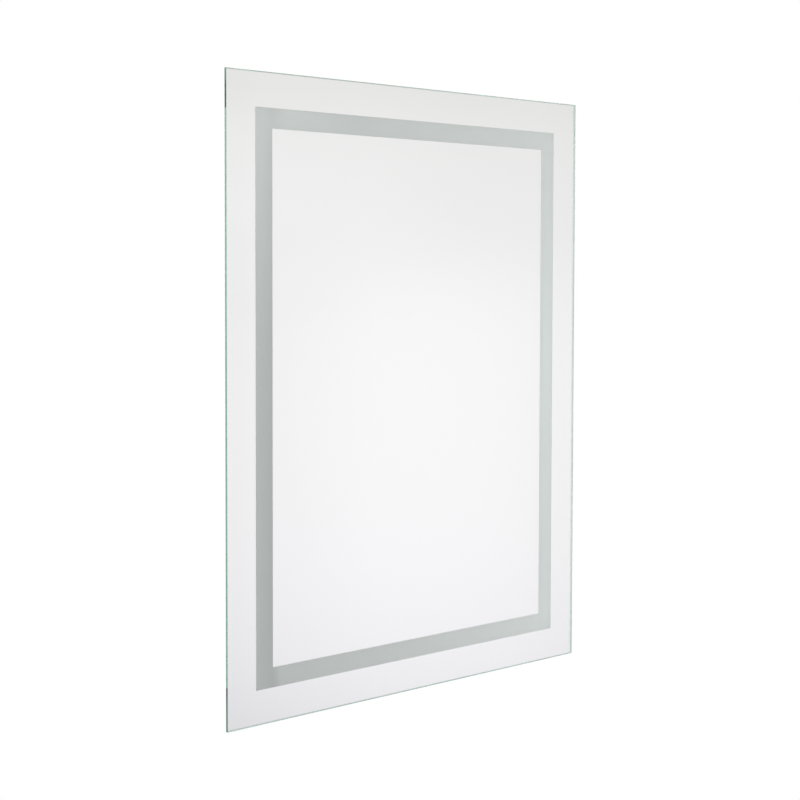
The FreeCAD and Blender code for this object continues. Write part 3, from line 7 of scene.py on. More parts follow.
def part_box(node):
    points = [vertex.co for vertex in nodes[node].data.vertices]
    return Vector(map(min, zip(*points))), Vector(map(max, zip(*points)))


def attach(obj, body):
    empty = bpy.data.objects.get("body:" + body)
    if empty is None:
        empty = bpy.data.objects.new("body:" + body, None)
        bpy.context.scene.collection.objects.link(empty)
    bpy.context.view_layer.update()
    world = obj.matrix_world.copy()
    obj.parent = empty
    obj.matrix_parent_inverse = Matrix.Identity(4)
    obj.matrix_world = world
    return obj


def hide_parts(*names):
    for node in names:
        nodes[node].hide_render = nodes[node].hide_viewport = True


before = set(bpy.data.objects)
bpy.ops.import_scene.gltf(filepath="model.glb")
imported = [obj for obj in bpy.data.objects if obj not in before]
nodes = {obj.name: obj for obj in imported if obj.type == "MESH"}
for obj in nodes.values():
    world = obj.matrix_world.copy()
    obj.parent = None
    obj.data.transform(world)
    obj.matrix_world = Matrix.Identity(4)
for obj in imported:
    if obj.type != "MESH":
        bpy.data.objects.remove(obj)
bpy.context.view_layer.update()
print("loaded", len(nodes), "nodes")

glassLow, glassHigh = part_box("mirror_glass")
middleZ = (glassLow.z + glassHigh.z) / 2
halfWide = glassHigh.x
halfTall = glassHigh.z - middleZ


# camera

camera = {
    "place": (-1.27909, -1.5383, -0.16327),
    "turn": 39.8556,    # degrees from straight on towards the viewer's right
    "tilt": -2.3918,
    "roll": 0.1361,
    "lens": 66.847,
    "sensor": 36.0,
    "shift": -0.0785,    # the photograph's frame sits a little low on the lens
    "clip": (0.01, 100),
}


def makeCamera():
    bpy.ops.object.select_all(action="DESELECT")
    bpy.ops.object.camera_add(location=camera["place"])
    eye = bpy.context.active_object
    eye.name = "photoCamera"
    turned = Matrix.Rotation(math.radians(-camera["turn"]), 4, "Z")
    tilted = Matrix.Rotation(math.radians(90 + camera["tilt"]), 4, "X")
    rolled = Matrix.Rotation(math.radians(camera["roll"]), 4, "Z")
    eye.rotation_euler = (turned @ tilted @ rolled).to_euler()
    eye.data.sensor_width = camera["sensor"]
    eye.data.lens = camera["lens"]
    eye.data.shift_y = camera["shift"]
    eye.data.clip_start, eye.data.clip_end = camera["clip"]
    bpy.context.scene.camera = eye


makeCamera()
print("camera placed")


# node helpers

noiseSpan = (0.3, 0.7)    # most of a noise's values lie between these


def startFinish(name):
    finish = bpy.data.materials.new(name)
    finish.use_nodes = True
    tree = finish.node_tree
    return finish, tree, tree.nodes["Principled BSDF"]


def addNode(tree, kind, spot, **settings):
    node = tree.nodes.new(kind)
    node.location = spot
    for key, value in settings.items():
        setattr(node, key, value)
    return node


def feed(tree, socket, value):
    if isinstance(value, tuple):
        socket.default_value = (*value, 1)
    elif isinstance(value, (int, float)):
        socket.default_value = value
    else:
        tree.links.new(value, socket)


def mathNode(tree, spot, operation, first, second=None):
    node = addNode(tree, "ShaderNodeMath", spot, operation=operation)
    feed(tree, node.inputs[0], first)
    if second is not None:
        feed(tree, node.inputs[1], second)
    return node.outputs[0]


def objectPlace(tree, spot, stretch=(1, 1, 1), centre=(0, 0, 0)):
    # object coordinates, moved to a centre and stretched along each axis
    source = addNode(tree, "ShaderNodeTexCoord", (spot[0] - 200, spot[1]))
    mapping = addNode(tree, "ShaderNodeMapping", spot)
    mapping.inputs["Location"].default_value = [-c * s for c, s in zip(centre, stretch)]
    mapping.inputs["Scale"].default_value = stretch
    tree.links.new(source.outputs["Object"], mapping.inputs["Vector"])
    return mapping.outputs["Vector"]


def splitPlace(tree, spot, place):
    node = addNode(tree, "ShaderNodeSeparateXYZ", spot)
    tree.links.new(place, node.inputs["Vector"])
    return node.outputs["X"], node.outputs["Y"], node.outputs["Z"]


def noiseAt(tree, spot, place, scale, detail=2.0):
    node = addNode(tree, "ShaderNodeTexNoise", spot)
    node.inputs["Scale"].default_value = scale
    node.inputs["Detail"].default_value = detail
    tree.links.new(place, node.inputs["Vector"])
    return node.outputs["Fac"]


def rampOf(tree, spot, factor, stops, smooth="LINEAR"):
    node = addNode(tree, "ShaderNodeValToRGB", spot)
    node.color_ramp.interpolation = smooth
    stopList = node.color_ramp.elements
    while len(stopList) < len(stops):
        stopList.new(0.5)
    for stop, (position, colour) in zip(stopList, stops):
        stop.position = position
        stop.color = (*colour, 1)
    tree.links.new(factor, node.inputs["Fac"])
    return node.outputs["Color"]


def rangeOf(tree, spot, value, fromLow, fromHigh, toLow, toHigh):
    node = addNode(tree, "ShaderNodeMapRange", spot)
    limits = {"From Min": fromLow, "From Max": fromHigh, "To Min": toLow, "To Max": toHigh}
    for key, number in limits.items():
        node.inputs[key].default_value = number
    tree.links.new(value, node.inputs["Value"])
    return node.outputs["Result"]


def betweenColours(tree, spot, noise, colours):
    return rampOf(tree, spot, noise, list(zip(noiseSpan, colours)))


def mixColour(tree, spot, factor, first, second, blend="MIX"):
    node = addNode(tree, "ShaderNodeMix", spot, data_type="RGBA", blend_type=blend)
    colours = [socket for socket in node.inputs if socket.type == "RGBA"]
    feed(tree, node.inputs[0], factor)
    feed(tree, colours[0], first)
    feed(tree, colours[1], second)
    return [socket for socket in node.outputs if socket.type == "RGBA"][0]


def mixShader(tree, spot, factor, first, second):
    node = addNode(tree, "ShaderNodeMixShader", spot)
    for socket, source in zip(node.inputs, (factor, first, second)):
        tree.links.new(source, socket)
    return node.outputs[0]


def paint(tree, shader, colour):
    tree.links.new(colour, shader.inputs["Base Color"])


def roughen(tree, spot, shader, noise, low, high, span=noiseSpan):
    # roughness that goes from low to high with a noise
    tree.links.new(rangeOf(tree, spot, noise, *span, low, high), shader.inputs["Roughness"])


def bumpOf(tree, spot, shader, height, strength, distance):
    node = addNode(tree, "ShaderNodeBump", spot)
    node.inputs["Strength"].default_value = strength
    node.inputs["Distance"].default_value = distance
    tree.links.new(height, node.inputs["Height"])
    tree.links.new(node.outputs["Normal"], shader.inputs["Normal"])


# studio

studio = {
    "worldLevel": 0.55,       # light that the open room gives to matt surfaces
    "floorSize": 60,
    "floorDrop": 1.6,         # floor below the wall rail's line
    "floorColour": (0.93, 0.93, 0.925),
    "floorNear": 0.9,         # the floor turns from lit to plain white between these distances
    "floorFar": 1.9,
    "lamps": [
        # name, place, size, watts, and whether bare metal and plastic mirror it
        ("keyLamp", (-2.1, -2.3, 1.7), 1.8, 72, False),
        ("fillLamp", (1.3, -1.9, 2.2), 1.8, 62, False),
        ("rearLamp", (1.7, 2.5, 1.4), 1.8, 46, True),
        ("rearFill", (-2.2, 1.5, 2.0), 1.6, 28, True),
    ],
}

# the room that the glass and the metals mirror: its level by height and by side
reflection = {
    "level": 1.002,
    "sideAxis": (0.768, 0.641, 0.0),
    "low": -0.40,
    "high": 0.24,
    "reach": 0.30,
    "heights": [
        (-0.40, (0.70, 0.705, 0.71)), (-0.29, (0.855, 0.856, 0.883)), (-0.245, (0.93, 0.93, 0.951)),
        (-0.19, (0.98, 0.98, 0.988)), (-0.11, (1.0, 1.0, 1.0)), (-0.044, (0.995, 0.995, 0.995)),
        (-0.010, (0.97, 0.97, 0.968)), (0.02, (0.93, 0.93, 0.928)), (0.06, (0.905, 0.905, 0.899)),
        (0.095, (0.893, 0.893, 0.883)), (0.125, (0.83, 0.83, 0.818)), (0.24, (0.80, 0.80, 0.79)),
    ],
    "sides": [
        (-0.30, (0.80, 0.80, 0.80)), (-0.107, (0.925, 0.925, 0.925)), (-0.06, (0.955, 0.955, 0.955)),
        (-0.01, (1.0, 1.0, 1.0)), (0.06, (0.985, 0.985, 0.985)), (0.109, (0.947, 0.947, 0.947)),
        (0.30, (0.84, 0.84, 0.84)),
    ],
    # higher up the room is brighter on its left
    "upperSides": [
        (-0.30, (0.88, 0.88, 0.88)), (-0.107, (1.005, 1.005, 1.005)), (-0.06, (1.01, 1.01, 1.01)),
        (-0.01, (1.0, 1.0, 1.0)), (0.055, (0.96, 0.96, 0.96)), (0.109, (0.97, 0.97, 0.97)),
        (0.30, (0.84, 0.84, 0.84)),
    ],
    "turnLow": -0.02,         # the lower sides give way to the upper ones between these heights
    "turnHigh": 0.045,
}


def stopsBetween(stops, low, high):
    return [((place - low) / (high - low), colour) for place, colour in stops]


def makeRoom():
    world = bpy.data.worlds.new("studioRoom")
    bpy.context.scene.world = world
    world.use_nodes = True
    tree = world.node_tree
    tree.nodes.clear()
    direction = addNode(tree, "ShaderNodeTexCoord", (-1400, 200)).outputs["Generated"]
    height = splitPlace(tree, (-1200, 300), direction)[2]
    byHeight = rangeOf(tree, (-1000, 300), height, reflection["low"], reflection["high"], 0, 1)
    heights = stopsBetween(reflection["heights"], reflection["low"], reflection["high"])
    heightColour = rampOf(tree, (-800, 300), byHeight, heights, "B_SPLINE")
    across = addNode(tree, "ShaderNodeVectorMath", (-1200, 0), operation="DOT_PRODUCT")
    across.inputs[1].default_value = reflection["sideAxis"]
    tree.links.new(direction, across.inputs[0])
    reach = reflection["reach"]
    bySide = rangeOf(tree, (-1000, 0), across.outputs["Value"], -reach, reach, 0, 1)
    lowStops = stopsBetween(reflection["sides"], -reach, reach)
    highStops = stopsBetween(reflection["upperSides"], -reach, reach)
    lowSide = rampOf(tree, (-800, 0), bySide, lowStops, "B_SPLINE")
    highSide = rampOf(tree, (-800, -250), bySide, highStops, "B_SPLINE")
    turned = rangeOf(tree, (-1000, -500), height, reflection["turnLow"], reflection["turnHigh"], 0, 1)
    sideColour = mixColour(tree, (-600, -100), turned, lowSide, highSide)
    mirrored = mixColour(tree, (-500, 200), 1.0, heightColour, sideColour, "MULTIPLY")
    seen = addNode(tree, "ShaderNodeLightPath", (-1000, 700)).outputs
    plain = addNode(tree, "ShaderNodeBackground", (-200, 500))
    plain.inputs["Strength"].default_value = studio["worldLevel"]
    glossy = addNode(tree, "ShaderNodeBackground", (-200, 300))
    glossy.inputs["Strength"].default_value = reflection["level"]
    tree.links.new(mirrored, glossy.inputs["Color"])
    white = addNode(tree, "ShaderNodeBackground", (-200, 100))
    white.inputs["Color"].default_value = (1, 1, 1, 1)
    byGloss = mathNode(tree, (-500, 600), "MAXIMUM", seen["Is Glossy Ray"], seen["Is Transmission Ray"])
    lit = mixShader(tree, (50, 400), byGloss, plain.outputs[0], glossy.outputs[0])
    shown = mixShader(tree, (250, 400), seen["Is Camera Ray"], lit, white.outputs[0])
    output = addNode(tree, "ShaderNodeOutputWorld", (450, 400))
    tree.links.new(shown, output.inputs["Surface"])


def makeFloor():
    bpy.ops.object.select_all(action="DESELECT")
    bpy.ops.mesh.primitive_plane_add(size=studio["floorSize"], location=(0, 0, -studio["floorDrop"]))
    floor = bpy.context.active_object
    floor.name = "studioFloor"
    finish, tree, shader = startFinish("paleFloor")
    shader.inputs["Base Color"].default_value = (*studio["floorColour"], 1)
    shader.inputs["Roughness"].default_value = 1.0
    shader.inputs["Specular IOR Level"].default_value = 0.0
    place = objectPlace(tree, (-1000, -200), (1, 1, 0))
    reach = addNode(tree, "ShaderNodeVectorMath", (-800, -200), operation="LENGTH")
    tree.links.new(place, reach.inputs[0])
    distance = reach.outputs["Value"]
    away = rangeOf(tree, (-600, -200), distance, studio["floorNear"], studio["floorFar"], 0, 1)
    seen = addNode(tree, "ShaderNodeLightPath", (-800, 300)).outputs
    farSeen = mathNode(tree, (-400, 0), "MULTIPLY", away, seen["Is Camera Ray"])
    white = addNode(tree, "ShaderNodeEmission", (-200, -200))
    near = mixShader(tree, (100, 0), farSeen, shader.outputs[0], white.outputs[0])
    # mirrors, glass and a look from below go straight through to the room
    underside = addNode(tree, "ShaderNodeNewGeometry", (-800, 600)).outputs["Backfacing"]
    byGloss = mathNode(tree, (-400, 300), "MAXIMUM", seen["Is Glossy Ray"], seen["Is Transmission Ray"])
    gone = mathNode(tree, (-200, 300), "MAXIMUM", byGloss, underside)
    clear = addNode(tree, "ShaderNodeBsdfTransparent", (100, -200))
    shown = mixShader(tree, (300, 0), gone, near, clear.outputs[0])
    tree.links.new(shown, tree.nodes["Material Output"].inputs["Surface"])
    floor.data.materials.append(finish)


def makeLamps():
    for name, place, size, watts, mirrored in studio["lamps"]:
        bpy.ops.object.light_add(type="AREA", location=place)
        lamp = bpy.context.active_object
        lamp.name = name
        lamp.data.shape = "DISK"
        lamp.data.size = size
        lamp.data.energy = watts
        aim = Vector((0, 0, middleZ)) - Vector(place)
        lamp.rotation_euler = aim.to_track_quat("-Z", "Y").to_euler()
        lamp.visible_camera = False
        lamp.visible_glossy = mirrored
        lamp.visible_transmission = False    # no lamp shows in the mirror, which is seen through glass


scene = bpy.context.scene
scene.view_settings.view_transform = "Standard"
scene.cycles.max_bounces = 32
scene.cycles.glossy_bounces = 32
scene.cycles.transmission_bounces = 16
scene.cycles.diffuse_bounces = 12    # light goes to and fro between the frosted band and the glass
makeRoom()
makeFloor()
makeLamps()
print("studio lit")


# modelling helpers

making = {
    "merge": 0.000005,        # corners nearer than this become one
    "copyMerge": 0.00001,     # the same for a copied node's mesh
    "flat": 2,                # degrees between a copied mesh's faces that still count as one flat
    "roundSteps": 2,
    "roundAbove": 32,         # degrees between two faces past which their edge is rounded
    "turnedAbove": 40,        # the same for a turned piece
    "smoothBelow": 50,        # degrees between two faces up to which they shade as one
    "flatWeight": 100,
    "facing": 0.9,            # a face looks along an axis when its normal has this much of it
    "onAxis": 0.0001,         # a turned piece's end faces are centred this near its axis
}


def pickOnly(piece):
    bpy.ops.object.select_all(action="DESELECT")
    piece.select_set(True)
    bpy.context.view_layer.objects.active = piece


def addedPiece():
    # the primitive that was just added, with its place and turn in its mesh
    piece = bpy.context.active_object
    bpy.ops.object.transform_apply(location=True, rotation=True, scale=True)
    return piece


def pickFaces(piece, wanted):
    # goes into edit mode with the faces selected that wanted(centre, normal) is true for
    bpy.ops.object.mode_set(mode="EDIT")
    bpy.ops.mesh.select_mode(type="FACE")
    bpy.ops.mesh.select_all(action="DESELECT")
    bpy.ops.object.mode_set(mode="OBJECT")
    for face in piece.data.polygons:
        face.select = wanted(face.center, face.normal)
    bpy.ops.object.mode_set(mode="EDIT")


def pickEdges(piece, wanted):
    # the same for edges, by both their ends
    bpy.ops.object.mode_set(mode="EDIT")
    bpy.ops.mesh.select_mode(type="EDGE")
    bpy.ops.mesh.select_all(action="DESELECT")
    bpy.ops.object.mode_set(mode="OBJECT")
    corners = piece.data.vertices
    for edge in piece.data.edges:
        edge.select = wanted(corners[edge.vertices[0]].co, corners[edge.vertices[1]].co)
    bpy.ops.object.mode_set(mode="EDIT")


def pushOut(x, y, z):
    bpy.ops.mesh.extrude_region_move(TRANSFORM_OT_translate={"value": (x, y, z)})


def closeUp():
    # merges what meets, turns all faces outwards and leaves edit mode
    bpy.ops.mesh.select_all(action="SELECT")
    bpy.ops.mesh.remove_doubles(threshold=making["merge"])
    bpy.ops.mesh.normals_make_consistent(inside=False)
    bpy.ops.object.mode_set(mode="OBJECT")


def softenEdges(piece, width, above):
    # small rounded edges wherever two faces meet at a sharp angle
    pickOnly(piece)
    bpy.ops.object.modifier_add(type="BEVEL")
    bevel = piece.modifiers[-1]
    bevel.width = width
    bevel.segments = making["roundSteps"]
    bevel.limit_method = "ANGLE"
    bevel.angle_limit = math.radians(above)
    bpy.ops.object.modifier_apply(modifier=bevel.name)
    bpy.ops.object.shade_smooth_by_angle(angle=math.radians(making["smoothBelow"]))
    # the large flats stay flat: their corners take the flats' own normals
    bpy.ops.object.modifier_add(type="WEIGHTED_NORMAL")
    even = piece.modifiers[-1]
    even.weight = making["flatWeight"]
    even.keep_sharp = True
    bpy.ops.object.modifier_apply(modifier=even.name)


def settle(piece, name, body, finishes, replaced=()):
    # name, body, finishes and the nodes it stands for
    piece.name = name
    piece.data.name = name
    piece.data.materials.clear()
    for finish in finishes:
        piece.data.materials.append(finish)
    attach(piece, body)
    if replaced:
        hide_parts(*replaced)


def softCopy(nodeName, name, body, slot, finish, width):
    # a worked copy of a node's mesh: corners merged, flats cleaned, edges rounded
    piece = bpy.data.objects.new(name, nodes[nodeName].data.copy())
    scene.collection.objects.link(piece)
    pickOnly(piece)
    bpy.ops.mesh.customdata_custom_splitnormals_clear()
    bpy.ops.object.mode_set(mode="EDIT")
    bpy.ops.mesh.select_all(action="SELECT")
    bpy.ops.mesh.remove_doubles(threshold=making["copyMerge"])
    bpy.ops.mesh.dissolve_limited(angle_limit=math.radians(making["flat"]))
    bpy.ops.mesh.normals_make_consistent(inside=False)
    bpy.ops.object.mode_set(mode="OBJECT")
    softenEdges(piece, width, making["roundAbove"])
    settle(piece, name, body, [finish], [nodeName])


def turnPiece(x, z, sides, rings):
    # as on a lathe: a disc is raised along Y through (radius, y) rings,
    # then its end faces go and its last ring is bridged to its first, which leaves a bore
    bpy.ops.object.select_all(action="DESELECT")
    radius, y = rings[0]
    bpy.ops.mesh.primitive_circle_add(
        vertices=sides, radius=radius, fill_type="NGON", location=(x, y, z), rotation=(math.radians(90), 0, 0)
    )
    piece = addedPiece()
    bpy.ops.object.mode_set(mode="EDIT")
    bpy.ops.mesh.select_all(action="SELECT")
    for nextRadius, nextY in rings[1:]:
        pushOut(0, nextY - y, 0)
        share = nextRadius / radius
        bpy.ops.transform.resize(value=(share, 1, share), center_override=(x, nextY, z))
        radius, y = nextRadius, nextY
    bpy.ops.object.mode_set(mode="OBJECT")
    pickFaces(piece, lambda centre, normal: math.hypot(centre.x - x, centre.z - z) < making["onAxis"])
    bpy.ops.mesh.delete(type="ONLY_FACE")
    bpy.ops.mesh.select_mode(type="EDGE")
    bpy.ops.mesh.select_non_manifold()
    bpy.ops.mesh.bridge_edge_loops()
    closeUp()
    return piece


def coat(nodeNames, finish):
    for nodeName in nodeNames:
        mesh = nodes[nodeName].data
        mesh.materials.clear()
        mesh.materials.append(finish)


# glass

glass = {
    "arris": 0.00027,
    "faceTint": (1.0, 1.0, 1.0),
    "edgeTint": (0.36, 0.88, 0.62),
    "edgeClear": 0.92,        # the cut edge scatters the rest
    "driftScale": 9.0,        # the polish on the cut edge is not quite even
    "driftGain": 1.08,
    "bend": 1.52,
    "absorb": (0.25, 0.80, 0.62),    # what a deep block of the batch lets through
    "absorbDensity": 7.0,
    "lampShare": 0.475,       # how much of the lamps' light comes in through the front face
}


def glassFinish():
    finish, tree, shader = startFinish("floatGlass")
    shader.inputs["Roughness"].default_value = 0.0
    shader.inputs["IOR"].default_value = glass["bend"]
    place = objectPlace(tree, (-1200, 0), centre=(0, 0, middleZ))
    x, y, z = splitPlace(tree, (-1000, 0), place)
    sideways = mathNode(tree, (-800, 100), "ABSOLUTE", x)
    nearSide = mathNode(tree, (-600, 100), "GREATER_THAN", sideways, halfWide - glass["arris"])
    upright = mathNode(tree, (-800, -100), "ABSOLUTE", z)
    nearEnd = mathNode(tree, (-600, -100), "GREATER_THAN", upright, halfTall - glass["arris"])
    onEdge = mathNode(tree, (-400, 0), "MAXIMUM", nearSide, nearEnd)
    drift = noiseAt(tree, (-800, -400), place, glass["driftScale"], 1.0)
    brighter = tuple(min(1.0, part * glass["driftGain"]) for part in glass["edgeTint"])
    edgeColour = mixColour(tree, (-400, -300), drift, glass["edgeTint"], brighter)
    paint(tree, shader, mixColour(tree, (-200, 0), onEdge, glass["faceTint"], edgeColour))
    clearness = rangeOf(tree, (-200, -200), onEdge, 0, 1, 1, glass["edgeClear"])
    tree.links.new(clearness, shader.inputs["Transmission Weight"])
    deep = addNode(tree, "ShaderNodeVolumeAbsorption", (0, -400))
    deep.inputs["Color"].default_value = (*glass["absorb"], 1)
    deep.inputs["Density"].default_value = glass["absorbDensity"]
    tree.links.new(deep.outputs["Volume"], tree.nodes["Material Output"].inputs["Volume"])
    # lamps light the frosted band straight through the glass
    share = glass["lampShare"]
    clear = addNode(tree, "ShaderNodeBsdfTransparent", (300, -200))
    clear.inputs["Color"].default_value = (share, share, share, 1)
    shadow = addNode(tree, "ShaderNodeLightPath", (300, 300)).outputs["Is Shadow Ray"]
    either = mixShader(tree, (500, 0), shadow, shader.outputs[0], clear.outputs[0])
    tree.links.new(either, tree.nodes["Material Output"].inputs["Surface"])
    return finish


coat(["mirror_glass"], glassFinish())
print("glass finished")


# silvering

silver = {
    "inset": 0.001,
    # the back paint at the rim shows through the glass as a dark line round the mirror: partly the mirror's
    # edge seal, partly painted shade for the dark behind the glass's rim
    "rim": 0.00025,           # the back paint runs this far past the silver
    "bandInset": 0.043,
    "bandWidth": 0.025,
    "contact": 0.00004,       # the silver lies this deep in the glass's rear face, so the two never shimmer
    "thick": 0.00024,
    "colour": (1.0, 0.9625, 0.98),
    "cloudScale": 3.0,
    "dulled": 0.994,
}

backPaint = {
    "cloudScale": 14.0,
    "cloudColours": ((0.205, 0.215, 0.222), (0.245, 0.255, 0.262)),
    "lineStretch": (260, 1, 3),    # narrow across, long up the glass
    "lineColours": ((0.18, 0.19, 0.2), (0.29, 0.3, 0.31)),
    "lineShare": 0.25,
    "speckScale": 900.0,
    "rough": (0.42, 0.6),
    "relief": (0.25, 0.00003),
}


def silverFinish():
    finish, tree, shader = startFinish("silverFace")
    shader.inputs["Metallic"].default_value = 1.0
    shader.inputs["Roughness"].default_value = 0.0
    cloud = noiseAt(tree, (-600, 0), objectPlace(tree, (-800, 0)), silver["cloudScale"])
    duller = tuple(part * silver["dulled"] for part in silver["colour"])
    paint(tree, shader, mixColour(tree, (-300, 0), cloud, silver["colour"], duller))
    return finish


def backPaintFinish():
    # two curtain coats of grey paint: faint lines along the travel, and small specks
    finish, tree, shader = startFinish("backPaint")
    place = objectPlace(tree, (-1200, 0))
    stretched = objectPlace(tree, (-1200, -300), backPaint["lineStretch"])
    streak = noiseAt(tree, (-900, -300), stretched, 1.0, 3.0)
    cloud = noiseAt(tree, (-900, 0), place, backPaint["cloudScale"], 4.0)
    speck = noiseAt(tree, (-900, 300), place, backPaint["speckScale"])
    colour = mixColour(tree, (-600, 0), cloud, *backPaint["cloudColours"])
    lines = betweenColours(tree, (-600, -300), streak, backPaint["lineColours"])
    paint(tree, shader, mixColour(tree, (-400, 0), backPaint["lineShare"], colour, lines))
    roughen(tree, (-600, 300), shader, speck, *backPaint["rough"])
    bumpOf(tree, (-300, -300), shader, speck, *backPaint["relief"])
    return finish


def platePiece(front, wide, tall):
    # a flat plate at the glass's back, standing in the middle of the mirror
    bpy.ops.object.select_all(action="DESELECT")
    bpy.ops.mesh.primitive_plane_add(size=1, location=(0, front, middleZ), rotation=(math.radians(90), 0, 0))
    bpy.context.active_object.scale = (wide, tall, 1)
    return addedPiece()


def makeSilver():
    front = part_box("silver_backing")[0].y - silver["contact"]
    outer = silver["inset"] - silver["rim"]
    plate = platePiece(front, 2 * (halfWide - outer), 2 * (halfTall - outer))
    bpy.ops.object.mode_set(mode="EDIT")
    bpy.ops.mesh.select_all(action="SELECT")
    bpy.ops.mesh.inset(thickness=silver["rim"])
    bpy.ops.mesh.inset(thickness=silver["bandInset"] - silver["inset"])
    bpy.ops.mesh.inset(thickness=silver["bandWidth"])
    bpy.ops.object.mode_set(mode="OBJECT")

    def fromRim(centre):
        return min(halfWide - abs(centre.x), halfTall - abs(centre.z - middleZ))

    bandInside = silver["bandInset"] + silver["bandWidth"]
    pickFaces(plate, lambda centre, normal: silver["bandInset"] < fromRim(centre) < bandInside)
    bpy.ops.mesh.delete(type="FACE")
    bpy.ops.mesh.select_all(action="SELECT")
    pushOut(0, silver["thick"], 0)
    closeUp()
    coats = [silverFinish(), backPaintFinish()]
    settle(plate, "silverCoat", "mirror", coats, ["silver_backing"])
    # faces between the rim and the silver take the back paint: an edge seal, and also painted shade as a dark
    # line round the mirror
    for face in plate.data.polygons:
        silvered = face.normal.y < -making["facing"] and fromRim(face.center) > silver["inset"]
        face.material_index = 0 if silvered else 1


makeSilver()
print("silver laid")


# etched band

band = {
    "depth": 0.00015,         # the etched recess in the glass's rear face
    "contact": 0.00004,
    "thick": 0.0003,
    "slack": 0.0001,          # clear of the recess's walls
    # how white the frost is painted along the lower and the upper arm, from left to right: painted shade and
    # light, the left arm darker and the right arm lighter, as the inside seen through the frost is shaded and
    # lit
    "low": [(0.0, 0.70), (0.054, 0.61), (0.075, 0.73), (0.5, 0.82), (1.0, 0.95)],
    "high": [(0.0, 0.81), (0.054, 0.74), (0.1, 0.785), (0.3, 0.73), (0.9, 0.795), (1.0, 0.815)],
    "reach": 0.26,            # half of what the arms' stops span
    "shadeLowHeight": 0.05,
    "shadeHighHeight": 0.38,
    "tint": (1.0, 1.003, 1.0),
    "grain": 1500.0,
    "sparkle": 0.08,
    "sparkleColour": (0.8, 0.82, 0.81),
    "rough": 0.9,
    "relief": (0.3, 0.00004),
}


# one arm's stops of painted shade and light, times the band's tint
def shadedBandStops(arm):
    return [(place, tuple(white * part for part in band["tint"])) for place, white in band[arm]]


def bandFinish():
    finish, tree, shader = startFinish("etchedFrost")
    shader.inputs["Roughness"].default_value = band["rough"]
    shader.inputs["Specular IOR Level"].default_value = 0.0
    place = objectPlace(tree, (-1200, 0), centre=(0, 0, middleZ))
    x, y, z = splitPlace(tree, (-1000, 0), place)
    # painted shade and light: the frost's white is set by its place along each arm, and blends from the lower
    # arm to the upper one by height
    side = rangeOf(tree, (-800, 0), x, -band["reach"], band["reach"], 0, 1)
    armShadeBlend = rangeOf(tree, (-800, -600), z, band["shadeLowHeight"], band["shadeHighHeight"], 0, 1)
    lowArmShading = rampOf(tree, (-600, 0), side, shadedBandStops("low"))
    highArmShading = rampOf(tree, (-600, -600), side, shadedBandStops("high"))
    colour = mixColour(tree, (-400, -200), armShadeBlend, lowArmShading, highArmShading)
    grain = noiseAt(tree, (-800, -300), place, band["grain"])
    sparkle = rangeOf(tree, (-600, -300), grain, *noiseSpan, 0.0, band["sparkle"])
    paint(tree, shader, mixColour(tree, (-300, 0), sparkle, colour, band["sparkleColour"]))
    bumpOf(tree, (-300, -300), shader, grain, *band["relief"])
    return finish


def makeBand():
    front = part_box("silver_backing")[0].y - band["depth"] - band["contact"]
    inset = silver["bandInset"]
    slack = band["slack"]
    ring = platePiece(front, 2 * (halfWide - inset - slack), 2 * (halfTall - inset - slack))
    bpy.ops.object.mode_set(mode="EDIT")
    bpy.ops.mesh.select_all(action="SELECT")
    bpy.ops.mesh.inset(thickness=silver["bandWidth"] - 2 * slack)
    bpy.ops.mesh.delete(type="FACE")
    bpy.ops.mesh.select_all(action="SELECT")
    pushOut(0, band["thick"], 0)
    closeUp()
    settle(ring, "etchedBand", "mirror", [bandFinish()])


makeBand()
print("band etched")


# grained finishes for plain moulded, painted, cast and plated surfaces

